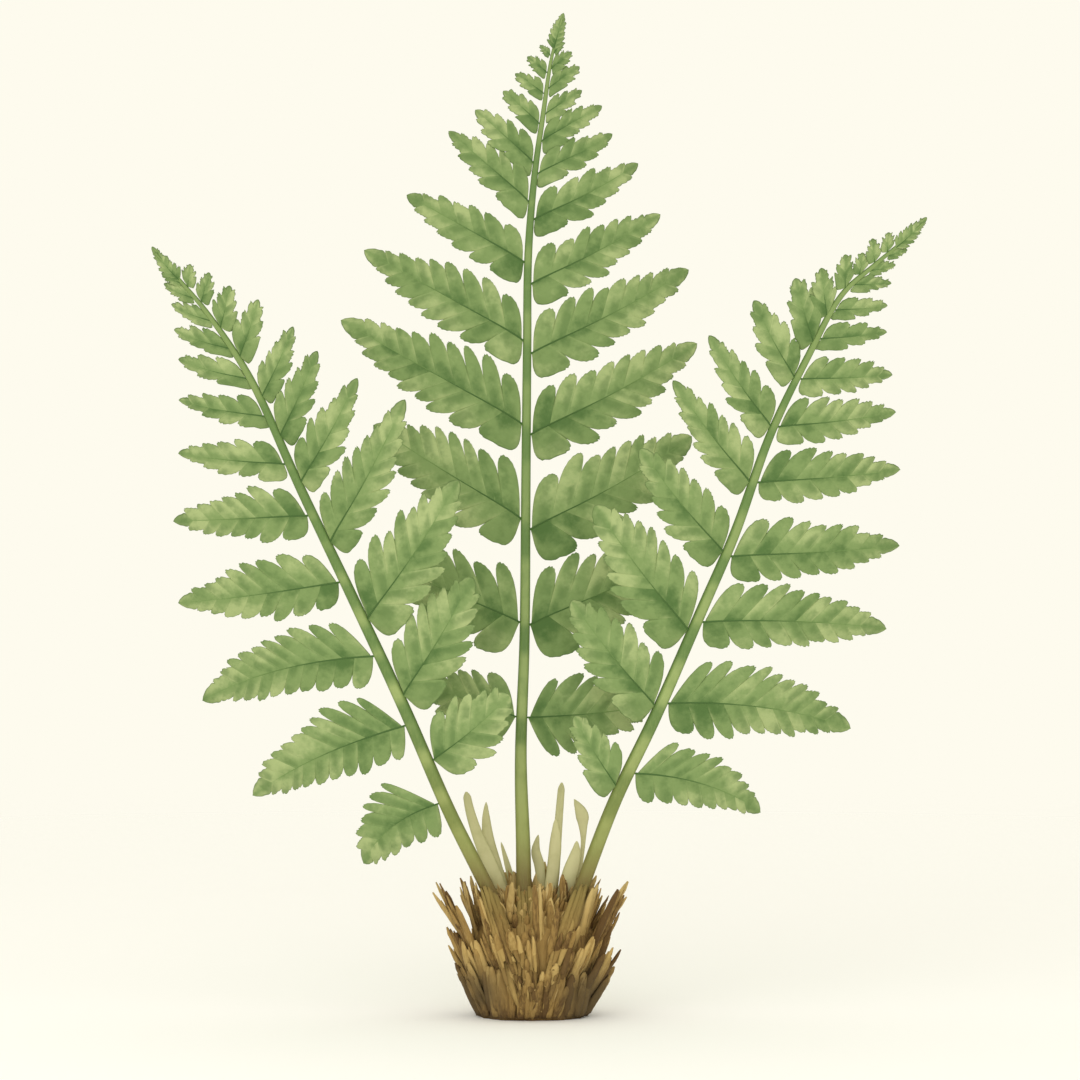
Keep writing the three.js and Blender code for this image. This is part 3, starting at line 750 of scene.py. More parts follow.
class NodeSheet:
    """Short way to write a node tree: it adds nodes, sets their inputs and joins sockets."""

    def __init__(self, tree: bpy.types.NodeTree) -> None:
        """Takes the tree to write in."""
        self.tree = tree

    def add(self, kind: str, inputs: dict | None = None, **settings: object) -> bpy.types.Node:
        """Adds a node.

        Args:
            kind: the node's type.
            inputs: value or socket for each input, by name, identifier or number.
            settings: the node's own settings.

        Returns:
            The node.
        """
        node = self.tree.nodes.new(kind)
        for name, value in settings.items():
            setattr(node, name, value)
        for key, value in (inputs or {}).items():
            self.feed(self.socket(node, key), value)
        return node

    @staticmethod
    def socket(node: bpy.types.Node, key: str | int) -> Socket:
        """Input of a node by number, identifier or name, among those in use."""
        named = (item for item in node.inputs if item.enabled and key in (item.identifier, item.name))
        return node.inputs[key] if isinstance(key, int) else next(named)

    def feed(self, socket: Socket, value: object) -> None:
        """Joins an input to a socket, or sets its value.

        Args:
            socket: the input.
            value: the socket or the value.
        """
        if isinstance(value, Socket):
            self.tree.links.new(value, socket)
        else:
            socket.default_value = value

    def math(self, operation: str, *values: object) -> Socket:
        """Result of a math node."""
        return self.add("ShaderNodeMath", dict(enumerate(values)), operation=operation).outputs[0]

    def times(self, first: object, second: object) -> Socket:
        """Product of two values."""
        return self.math("MULTIPLY", first, second)

    def plus(self, base: object, value: object, share: float = 1.0) -> Socket:
        """Sum of a value and a share of another."""
        return self.math("MULTIPLY_ADD", value, share, base)

    def swayed(self, base: object, value: object, reach: float) -> Socket:
        """Value moved up and down, over a reach, by another that runs from 0 to 1."""
        return self.math("ADD", base, self.math("MULTIPLY_ADD", value, reach, -reach / 2))

    def vector(self, operation: str, *values: object) -> Socket:
        """Result of a vector math node."""
        node = self.add("ShaderNodeVectorMath", dict(enumerate(values)), operation=operation)
        return node.outputs["Value" if operation in ("DOT_PRODUCT", "LENGTH") else "Vector"]

    def split(self, vector: object) -> tuple[Socket, ...]:
        """The three parts of a vector."""
        return tuple(self.add("ShaderNodeSeparateXYZ", {0: vector}).outputs)

    def joined(self, *parts: object) -> Socket:
        """Vector of three parts."""
        return self.add("ShaderNodeCombineXYZ", dict(enumerate(parts))).outputs[0]

    def ramp(
        self, value: object, low: float, high: float, start: float = 0, end: float = 1,
    ) -> Socket:
        """Value carried smoothly from a range, low to high, to another, start to end."""
        inputs = {"Value": value, "From Min": low, "From Max": high, "To Min": start, "To Max": end}
        return self.add("ShaderNodeMapRange", inputs, interpolation_type="SMOOTHSTEP").outputs[0]

    def mix(self, share: object, first: object, second: object) -> Socket:
        """Mix of two colours.

        Args:
            share: share of the second one.
            first: a socket or a six-figure screen code.
            second: a socket or a six-figure screen code.

        Returns:
            The mixed colour.
        """
        colours = [linear(item) if isinstance(item, str) else item for item in (first, second)]
        given = {"Factor": share, "A": colours[0], "B": colours[1]}
        node = self.add("ShaderNodeMix", data_type="RGBA")
        for item in node.inputs:
            if item.enabled and item.name in given:
                self.feed(item, given[item.name])
        return next(item for item in node.outputs if item.enabled)

    def noise(self, place: object, scale: float, detail: float = 3, roughness: float = 0.6) -> Socket:
        """Noise from 0 to 1 at a place."""
        inputs = {"Vector": place, "Scale": scale, "Detail": detail, "Roughness": roughness}
        return self.add("ShaderNodeTexNoise", inputs).outputs[0]

    def number(self, name: str) -> Socket:
        """Number that a mesh carries by name."""
        return self.add("ShaderNodeAttribute", attribute_name=name).outputs["Fac"]

    def place(self, lengthwise: float = 1) -> Socket:
        """Place on the object, with its height stretched by a factor."""
        spot = self.add("ShaderNodeTexCoord").outputs["Object"]
        return self.vector("MULTIPLY", spot, (1, 1, lengthwise))


class Finish:
    """What every finish shares: a material with one shader, its colour and its small relief."""

    name: str = "finish"
    roughness: float = 0.7
    gloss: float = 0.25
    relief: float = 0.3
    relief_depth: float = 0.0004

    def sheet(self) -> tuple[bpy.types.Material, NodeSheet, bpy.types.Node]:
        """Starts a material.

        Returns:
            The material, its sheet of nodes and its shader.
        """
        material = bpy.data.materials.new(self.name)
        material.use_nodes = True
        tree = material.node_tree
        shader = next(node for node in tree.nodes if node.type == "BSDF_PRINCIPLED")
        shader.inputs["Roughness"].default_value = self.roughness
        shader.inputs["Specular IOR Level"].default_value = self.gloss
        return material, NodeSheet(tree), shader

    def paint(self, sheet: NodeSheet) -> tuple[Socket, Socket | None]:
        """Colour of the finish and, where it has relief, the height of that."""
        raise NotImplementedError

    def material(self) -> bpy.types.Material:
        """Builds the material.

        Returns:
            The material, with its colour and its relief.
        """
        material, sheet, shader = self.sheet()
        colour, height = self.paint(sheet)
        sheet.feed(shader.inputs["Base Color"], colour)
        if height is not None:
            inputs = {"Height": height, "Strength": self.relief, "Distance": self.relief_depth}
            sheet.feed(shader.inputs["Normal"], sheet.add("ShaderNodeBump", inputs).outputs[0])
        return material


@dataclass(frozen=True)
class LeafFinish(Finish):
    """Matt green leaf with uneven pigment, dark veins and margins, and a painted highlight on the edges
    between lobes.
    """

    name: str = "leaf"
    dark: str = "4f6d38"
    middle: str = "7b9259"
    # Light green of the paler pigment, also used for the painted highlight on the edges between lobes.
    light: str = "a7b57c"
    vein: str = "45612f"
    back: str = "90a26d"
    margin: tuple[float, float] = (0.0004, 0.0016)
    roughness: float = 0.72
    gloss: float = 0.22

    def paint(self, sheet: NodeSheet) -> tuple[Socket, Socket]:
        """Colour and relief of the leaf.

        Args:
            sheet: the material's sheet of nodes.

        Returns:
            The colour and the height.
        """
        place = sheet.place()
        broad = sheet.noise(place, 34, 4)
        fine = sheet.noise(place, 210, 4)
        row, across = sheet.number("row"), sheet.number("across")
        tone = sheet.times(sheet.number("tone"), 0.34)
        tone = sheet.plus(tone, broad, 0.95)
        tone = sheet.plus(tone, fine, 0.30)
        tone = sheet.plus(tone, sheet.ramp(row, 0.0, 0.7, -0.16, 0.06))
        tone = sheet.plus(tone, sheet.ramp(sheet.number("run"), 0.1, 0.8, -0.08, 0.10))
        colour = sheet.mix(sheet.ramp(tone, 0.35, 0.72), self.dark, self.middle)
        colour = sheet.mix(sheet.ramp(tone, 0.74, 1.12, 0, 0.85), colour, self.light)
        pool = sheet.times(sheet.ramp(across, -0.6, 0.1), sheet.ramp(across, 0.5, 0.95, 1, 0))
        pool = sheet.times(pool, sheet.ramp(sheet.noise(place, 55), 0.42, 0.62, 0, 0.5))
        colour = sheet.mix(pool, colour, self.dark)
        # Painted highlight: the light green laid along each lobe's edge towards the pinna's root, from near
        # the midrib out to the margin, in noisy patches.
        inner = sheet.times(sheet.ramp(across, -1.0, -0.35, 1, 0), sheet.ramp(row, 0.05, 0.45))
        inner = sheet.times(inner, sheet.ramp(sheet.noise(place, 40), 0.45, 0.62, 0, 0.45))
        colour = sheet.mix(inner, colour, self.light)
        side_vein = self.side_veins(sheet, across, row)
        colour = sheet.mix(sheet.times(side_vein, 0.07), colour, self.vein)
        rim = sheet.ramp(sheet.plus(sheet.number("rim"), fine, 0.0010), *self.margin, 0.8, 0)
        colour = sheet.mix(sheet.times(rim, sheet.ramp(broad, 0.3, 0.55, 0.4, 1)), colour, self.vein)
        colour = sheet.mix(sheet.times(sheet.number("back"), 0.5), colour, self.back)
        return colour, sheet.plus(sheet.times(fine, 0.6), side_vein, -0.4)

    @staticmethod
    def side_veins(sheet: NodeSheet, across: object, row: object) -> Socket:
        """Thin veins that leave the middle of each lobe on both sides."""
        slope = sheet.plus(sheet.times(row, 6.0), sheet.math("ABSOLUTE", across), -1.6)
        return sheet.ramp(sheet.math("PINGPONG", slope, 0.5), 0.0, 0.09, 1, 0)


@dataclass(frozen=True)
class StalkFinish(Finish):
    """Rachis and stipe: painted highlight down the front groove, painted shade on the sides, darker where
    pinnae join, browner at the foot.
    """

    name: str = "stalk"
    # Colour of the painted highlight down the front groove.
    pale: str = "98a868"
    middle: str = "7b904e"
    # Colour of the painted shade on the sides and the back.
    edge: str = "4a632b"
    band: str = "55743a"
    leafy: str = "638145"
    olive: str = "8a8846"
    brown: str = "705a30"
    leafy_rise: tuple[float, float] = (0.20, 0.50)
    olive_rise: tuple[float, float] = (0.12, 0.26)
    brown_rise: tuple[float, float] = (0.095, 0.150)
    roughness: float = 0.6
    gloss: float = 0.3

    def paint(self, sheet: NodeSheet) -> tuple[Socket, Socket]:
        """Colour and relief of the stalk.

        Args:
            sheet: the material's sheet of nodes.

        Returns:
            The colour and the height.
        """
        streak = sheet.noise(sheet.place(0.08), 900)
        broad = sheet.noise(sheet.place(), 60)
        front = sheet.swayed(sheet.number("front"), streak, 0.3)
        # Painted highlight: lighter where the surface faces the front.
        colour = sheet.mix(sheet.ramp(front, 0.45, 0.95), self.middle, self.pale)
        colour = sheet.mix(sheet.ramp(broad, 0.4, 0.75, 0, 0.35), colour, self.band)
        band = sheet.times(sheet.number("band"), sheet.ramp(streak, 0.2, 0.6, 0.595, 0.85))
        colour = sheet.mix(band, colour, self.band)
        # Painted shade: darker on the sides and the back, where the surface turns away from the front.
        colour = sheet.mix(sheet.ramp(front, 0.15, 0.62, 0.95, 0), colour, self.edge)
        _, _, height = sheet.split(sheet.place())
        colour = sheet.mix(sheet.ramp(height, *self.leafy_rise, 0, 0.55), colour, self.leafy)
        level = sheet.swayed(height, streak, 0.03)
        colour = sheet.mix(sheet.ramp(level, *self.olive_rise, 0.6, 0), colour, self.olive)
        brown = sheet.ramp(level, *self.brown_rise, 1, 0)
        brown = sheet.times(brown, sheet.ramp(streak, 0.35, 0.6, 0.65, 1))
        return sheet.mix(brown, colour, self.brown), streak


@dataclass(frozen=True)
class MidribFinish(Finish):
    """Thin dark midrib that fades into the blade before the tip."""

    name: str = "midrib"
    dark: str = "456430"
    fade: str = "6f8b4e"
    roughness: float = 0.65

    def paint(self, sheet: NodeSheet) -> tuple[Socket, None]:
        """Colour of the midrib, which has no relief."""
        run = sheet.swayed(sheet.number("run"), sheet.noise(sheet.place(), 260), 0.3)
        return sheet.mix(sheet.ramp(run, 0.25, 0.75), self.dark, self.fade), None


@dataclass(frozen=True)
class FibreFinish(Finish):
    """Brown fibrous tissue of the crown, streaked lengthwise, dark at the foot and in the gaps, with a
    painted highlight down its middle and painted shade on its sides.
    """

    name: str = "fibre"
    dark: str = "5f4727"
    middle: str = "987b46"
    light: str = "bb9f63"
    straw: str = "beae79"
    # Umber of the painted shade on the crown's lower sides.
    painted_shade_umber: str = "574930"
    straw_rise: tuple[float, float] = (0.075, 0.125)
    straw_shade: tuple[float, float] = (0.3, 0.9)
    straw_share: float = 0.6
    painted_shade_sides: tuple[float, float] = (0.012, 0.042)
    painted_shade_rise: tuple[float, float] = (0.020, 0.060)
    roughness: float = 0.85
    gloss: float = 0.2
    relief: float = 0.6
    relief_depth: float = 0.0010

    def paint(self, sheet: NodeSheet) -> tuple[Socket, Socket]:
        """Colour and relief of the tissue.

        Args:
            sheet: the material's sheet of nodes.

        Returns:
            The colour and the height.
        """
        streak = sheet.noise(sheet.place(0.12), 520, 5, 0.65)
        broad = sheet.noise(sheet.place(), 38)
        shade = sheet.number("shade")
        side, _, height = sheet.split(sheet.place())
        side = sheet.math("ABSOLUTE", side)
        tone = sheet.plus(sheet.times(streak, 0.75), broad, 0.45)
        tone = sheet.swayed(tone, shade, 0.8)
        tone = sheet.plus(tone, sheet.ramp(height, 0.0, 0.055, -0.22, 0.06))
        tone = sheet.plus(tone, sheet.ramp(sheet.number("lengthwise"), 0.0, 0.4, -0.06, 0.03))
        # Painted highlight and painted shade: lighter down the middle and darker towards the sides, as seen
        # from the front.
        tone = sheet.plus(tone, sheet.ramp(side, 0.010, 0.045, 0.08, -0.06))
        colour = sheet.mix(sheet.ramp(tone, 0.25, 0.62), self.dark, self.middle)
        colour = sheet.mix(sheet.ramp(tone, 0.60, 1.0), colour, self.light)
        pale = sheet.ramp(height, *self.straw_rise, 0, self.straw_share)
        pale = sheet.times(pale, sheet.ramp(shade, *self.straw_shade))
        colour = sheet.mix(pale, colour, self.straw)
        # Painted shade: umber laid on the lower sides of the crown, in broad patches.
        painted_shade_mask = sheet.ramp(side, *self.painted_shade_sides, 0.15, 1)
        painted_shade_mask = sheet.times(painted_shade_mask, sheet.ramp(broad, 0.3, 0.6, 0.4, 1))
        painted_shade_mask = sheet.times(painted_shade_mask, sheet.ramp(height, *self.painted_shade_rise, 0.9, 0))
        return sheet.mix(painted_shade_mask, colour, self.painted_shade_umber), streak


@dataclass(frozen=True)
class ShootFinish(Finish):
    """Pale olive young tissue with faint streaks, and painted shade that makes its edges and back slightly
    darker.
    """

    name: str = "shoot"
    pale: str = "c2be8f"
    # Colour of the painted shade on the edges and the back, also used for uneven darker blotches.
    edge: str = "a19f6c"
    foot: str = "9a8856"
    foot_rise: tuple[float, float] = (0.085, 0.115)
    relief_depth: float = 0.0005

    def paint(self, sheet: NodeSheet) -> tuple[Socket, Socket]:
        """Colour and relief of the young tissue.

        Args:
            sheet: the material's sheet of nodes.

        Returns:
            The colour and the height.
        """
        streak = sheet.noise(sheet.place(0.10), 620, 4)
        front = sheet.swayed(sheet.number("front"), streak, 0.6)
        # Painted shade: darker on the edges and the back, lighter where the face looks to the front.
        colour = sheet.mix(sheet.ramp(front, 0.0, 0.8), self.edge, self.pale)
        broad = sheet.ramp(sheet.noise(sheet.place(), 60), 0.45, 0.8, 0, 0.5)
        colour = sheet.mix(broad, colour, self.edge)
        _, _, height = sheet.split(sheet.place())
        return sheet.mix(sheet.ramp(height, *self.foot_rise, 0.8, 0), colour, self.foot), streak


@dataclass(frozen=True)
class FloorFinish(Finish):
    """Plain warm white floor that fades out to the same colour behind it."""

    name: str = "floor"
    colour: str = "fbfbfa"
    solid: float = 0.9
    gone: float = 2.4
    roughness: float = 0.9
    gloss: float = 0.1

    def material(self) -> bpy.types.Material:
        """Builds the material.

        Returns:
            The material, which is clear beyond its far distance.
        """
        material, sheet, shader = self.sheet()
        shader.inputs["Base Color"].default_value = linear(self.colour)
        share = sheet.ramp(sheet.vector("LENGTH", sheet.place()), self.solid, self.gone)
        clear = sheet.add("ShaderNodeBsdfTransparent").outputs[0]
        mix = sheet.add("ShaderNodeMixShader", {0: share, 1: shader.outputs[0], 2: clear})
        output = next(node for node in sheet.tree.nodes if node.type == "OUTPUT_MATERIAL")
        sheet.feed(output.inputs["Surface"], mix.outputs[0])
        return material


class GeometryTree:
    """Geometry node tree with named inputs, which is run on an object and leaves a plain mesh."""

    def __init__(self, name: str, **numbers: int | float) -> None:
        """Starts the tree, with inputs for the geometry, some numbers and the material.

        Args:
            name: the tree's name.
            numbers: usual value of each number, by the name of its input.
        """
        self.tree = bpy.data.node_groups.new(name, "GeometryNodeTree")
        self.sheet = NodeSheet(self.tree)
        face = self.tree.interface
        face.new_socket("Geometry", in_out="INPUT", socket_type="NodeSocketGeometry")
        self.identifiers = {}
        for label, value in numbers.items():
            kind = "NodeSocketInt" if isinstance(value, int) else "NodeSocketFloat"
            socket = face.new_socket(label, in_out="INPUT", socket_type=kind)
            socket.default_value = value
            self.identifiers[label] = socket.identifier
        finish = face.new_socket("Material", in_out="INPUT", socket_type="NodeSocketMaterial")
        self.identifiers["Material"] = finish.identifier
        face.new_socket("Geometry", in_out="OUTPUT", socket_type="NodeSocketGeometry")
        self.source = self.sheet.add("NodeGroupInput")

    def given(self, name: str) -> Socket:
        """Named input inside the tree."""
        return self.source.outputs[name]

    def step(self, kind: str, inputs: dict, **settings: object) -> Socket:
        """Adds a node and gives its first output."""
        return self.sheet.add(kind, inputs, **settings).outputs[0]

    def place(self) -> Socket:
        """Place of each point."""
        return self.step("GeometryNodeInputPosition", {})

    def stored(self, geometry: object, name: str, value: object, domain: str = "POINT") -> Socket:
        """Geometry with a number stored on it by name."""
        inputs = {"Geometry": geometry, "Name": name, "Value": value}
        return self.step("GeometryNodeStoreNamedAttribute", inputs, data_type="FLOAT", domain=domain)

    def carried(self, name: str, data_type: str = "FLOAT") -> Socket:
        """Number or vector that the geometry carries by name."""
        return self.step("GeometryNodeInputNamedAttribute", {"Name": name}, data_type=data_type)

    def close(self, geometry: object) -> None:
        """Ends the tree with real copies, smooth shading and the material.

        Args:
            geometry: the geometry so far.
        """
        geometry = self.step("GeometryNodeRealizeInstances", {"Geometry": geometry})
        geometry = self.step("GeometryNodeSetShadeSmooth", {"Geometry": geometry})
        inputs = {"Geometry": geometry, "Material": self.given("Material")}
        geometry = self.step("GeometryNodeSetMaterial", inputs)
        self.sheet.add("NodeGroupOutput", {0: geometry})

    def run(self, item: bpy.types.Object, **values: object) -> bpy.types.Object:
        """Runs the tree on an object and keeps the result as a plain mesh.

        Args:
            item: the object that gives the geometry.
            values: value for each named input.

        Returns:
            The same object, with the new mesh and no modifier.
        """
        modifier = item.modifiers.new(self.tree.name, "NODES")
        modifier.node_group = self.tree
        for name, value in values.items():
            modifier[self.identifiers[name]] = value
        bpy.context.view_layer.update()
        graph = bpy.context.evaluated_depsgraph_get()
        made = bpy.data.meshes.new_from_object(item.evaluated_get(graph))
        item.modifiers.remove(modifier)
        item.data = made
        made.name = item.name
        return item


class StalkTree(GeometryTree):
    """Round or flat stalks along paths, with a groove down their front.

    The geometry is a mesh of edges. Its points carry thickness, the radius, and facing, the
    direction of the front.
    """

    GROOVE_REACH = 0.55

    def __init__(self) -> None:
        """Builds the tree."""
        super().__init__("stalks", Sides=12, Flatness=1.0, Groove=0.2)
        sheet = self.sheet
        curve = self.step("GeometryNodeMeshToCurve", {"Mesh": self.given("Geometry")})
        facing = {"Curve": curve, "Normal": self.carried("facing", "FLOAT_VECTOR")}
        curve = self.step("GeometryNodeSetCurveNormal", facing, mode="FREE")
        inputs = {"Resolution": self.given("Sides"), "Radius": 1.0}
        ring = self.step("GeometryNodeCurvePrimitiveCircle", inputs)
        front, side, _ = sheet.split(self.place())
        hollow = sheet.ramp(sheet.math("ABSOLUTE", side), 0.0, self.GROOVE_REACH, 1, 0)
        hollow = sheet.times(hollow, sheet.math("GREATER_THAN", front, 0.0))
        depth = sheet.math("SUBTRACT", front, sheet.times(hollow, self.given("Groove")))
        depth = sheet.times(depth, self.given("Flatness"))
        ring = self.stored(ring, "front", front)
        inputs = {"Geometry": ring, "Position": sheet.joined(depth, side, 0.0)}
        ring = self.step("GeometryNodeSetPosition", inputs)
        self.close(self.step("GeometryNodeCurveToMesh", {
            "Curve": curve, "Profile Curve": ring, "Scale": self.carried("thickness"),
            "Fill Caps": True,
        }))


@dataclass(frozen=True)
class TongueShape:
    """Form that all tongues of one piece share.

    Args:
        name: the piece's name.
        widths: share of the length and share of the width, from root to tip.
        sides: sides round each tongue.
        segments: spans along it.
        seed: seed of the tongues' shades.
        hollow: thickness of the inner side, as a share of the back's.
        curl: how far the tips bend back, in thicknesses of the back.
        roughen: unevenness of the surface.
    """

    name: str
    widths: tuple[tuple[float, float], ...]
    sides: int
    segments: int
    seed: int
    hollow: float
    curl: float
    roughen: float


LEAF_BASES = TongueShape(
    "crown_leaf_bases", ((0.0, 0.75), (0.3, 1.0), (0.7, 0.95), (0.92, 0.7), (1.0, 0.3)),
    sides=10, segments=10, seed=4, hollow=0.35, curl=0.0, roughen=0.0024,
)
STIPE_FEET = TongueShape(
    "crown_stipe_feet", ((0.0, 0.5), (0.3, 1.0), (0.8, 0.95), (0.95, 0.75), (1.0, 0.5)),
    sides=8, segments=12, seed=8, hollow=0.4, curl=0.0, roughen=0.0016,
)
COLLARS = TongueShape(
    "crown_collars", ((0.0, 0.8), (0.3, 1.0), (0.65, 0.9), (0.9, 0.5), (1.0, 0.15)),
    sides=8, segments=8, seed=6, hollow=0.4, curl=0.4, roughen=0.0016,
)
PAPERY_SCALES = TongueShape(
    "crown_scales", ((0.0, 0.5), (0.25, 0.95), (0.5, 1.0), (0.8, 0.55), (1.0, 0.08)),
    sides=6, segments=5, seed=9, hollow=0.6, curl=0.8, roughen=0.001,
)


@dataclass(frozen=True)
class Tongue:
    """Place and size of one tongue.

    Args:
        root: middle of its root.
        direction: direction of its tip.
        back: direction that its back faces.
        half_width: half its width.
        ridge: thickness of its back.
        length: its length.
    """

    root: np.ndarray
    direction: np.ndarray
    back: np.ndarray
    half_width: float
    ridge: float
    length: float


class TongueTree(GeometryTree):
    """Tongues on points: old leaf bases, strips or scales.

    The points carry direction, back and size: half width, thickness of the back, and length.
    """

    NOISE_SCALE = 130.0

    def __init__(self, shape: TongueShape) -> None:
        """Builds the tree.

        Args:
            shape: form of the tongues, which gives the tree its widths and its name.
        """
        super().__init__(
            shape.name, Sides=8, Segments=6, Seed=1, Hollow=0.3, Curl=0.0, Roughen=0.0,
        )
        sheet = self.sheet
        tube = self.step("GeometryNodeMeshCylinder", {
            "Vertices": self.given("Sides"), "Side Segments": self.given("Segments"),
            "Radius": 1.0, "Depth": 1.0,
        })
        side, out, height = sheet.split(self.place())
        run = sheet.math("ADD", height, 0.5)
        width = self.width_curve(run, shape.widths)
        inner = sheet.times(sheet.math("MINIMUM", out, 0.0), self.given("Hollow"))
        thick = sheet.math("ADD", sheet.math("MAXIMUM", out, 0.0), inner)
        curled = sheet.times(sheet.times(run, run), self.given("Curl"))
        thick = sheet.math("ADD", sheet.times(thick, width), curled)
        moved = sheet.joined(sheet.times(side, width), thick, run)
        tube = self.stored(tube, "lengthwise", run)
        tube = self.step("GeometryNodeSetPosition", {"Geometry": tube, "Position": moved})
        turn = self.step("FunctionNodeAxesToRotation", {
            "Primary Axis": self.carried("direction", "FLOAT_VECTOR"),
            "Secondary Axis": self.carried("back", "FLOAT_VECTOR"),
        }, primary_axis="Z", secondary_axis="Y")
        copies = self.step("GeometryNodeInstanceOnPoints", {
            "Points": self.given("Geometry"), "Instance": tube, "Rotation": turn,
            "Scale": self.carried("size", "FLOAT_VECTOR"),
        })
        span = {"Min_001": 0.0, "Max_001": 1.0, "Seed": self.given("Seed")}
        draw = sheet.add("FunctionNodeRandomValue", span, data_type="FLOAT")
        shade = next(item for item in draw.outputs if item.enabled)
        copies = self.stored(copies, "shade", shade, "INSTANCE")
        whole = self.step("GeometryNodeRealizeInstances", {"Geometry": copies})
        noise = {"Vector": self.place(), "Scale": self.NOISE_SCALE, "Detail": 2.0}
        wobble = sheet.add("ShaderNodeTexNoise", noise).outputs["Color"]
        wobble = sheet.vector("SUBTRACT", wobble, (0.5, 0.5, 0.5))
        wobble = sheet.vector("MULTIPLY", wobble, self.given("Roughen"))
        self.close(self.step("GeometryNodeSetPosition", {"Geometry": whole, "Offset": wobble}))

    def width_curve(self, run: Socket, widths: tuple[tuple[float, float], ...]) -> Socket:
        """Share of the width at each share of the length.

        Args:
            run: the share of the length.
            widths: knots of the curve, from root to tip.

        Returns:
            The share of the width.
        """
        curve = self.sheet.add("ShaderNodeFloatCurve", {"Value": run})
        points = curve.mapping.curves[0].points
        for (share, width), point in zip(widths, points):
            point.location = (share, width)
        for share, width in widths[2:]:
            points.new(share, width)
        for point, knot in zip(sorted(points, key=lambda item: item.location[0]), widths):
            point.location = knot
        curve.mapping.update()
        return curve.outputs[0]


def keep(item: bpy.types.Object, slot: str, *nodes: str) -> None:
    """Hands a finished piece to the frame and reports it.

    Args:
        item: the piece.
        slot: name of a material slot, which is not used.
        nodes: CAD nodes that it stands for.
    """
    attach(item, BODY)
    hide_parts(*nodes)
    faces = sum(len(face.vertices) - 2 for face in item.data.polygons)
    LOG.info("%s: %d triangles, stands for %s", item.name, faces, ", ".join(nodes))


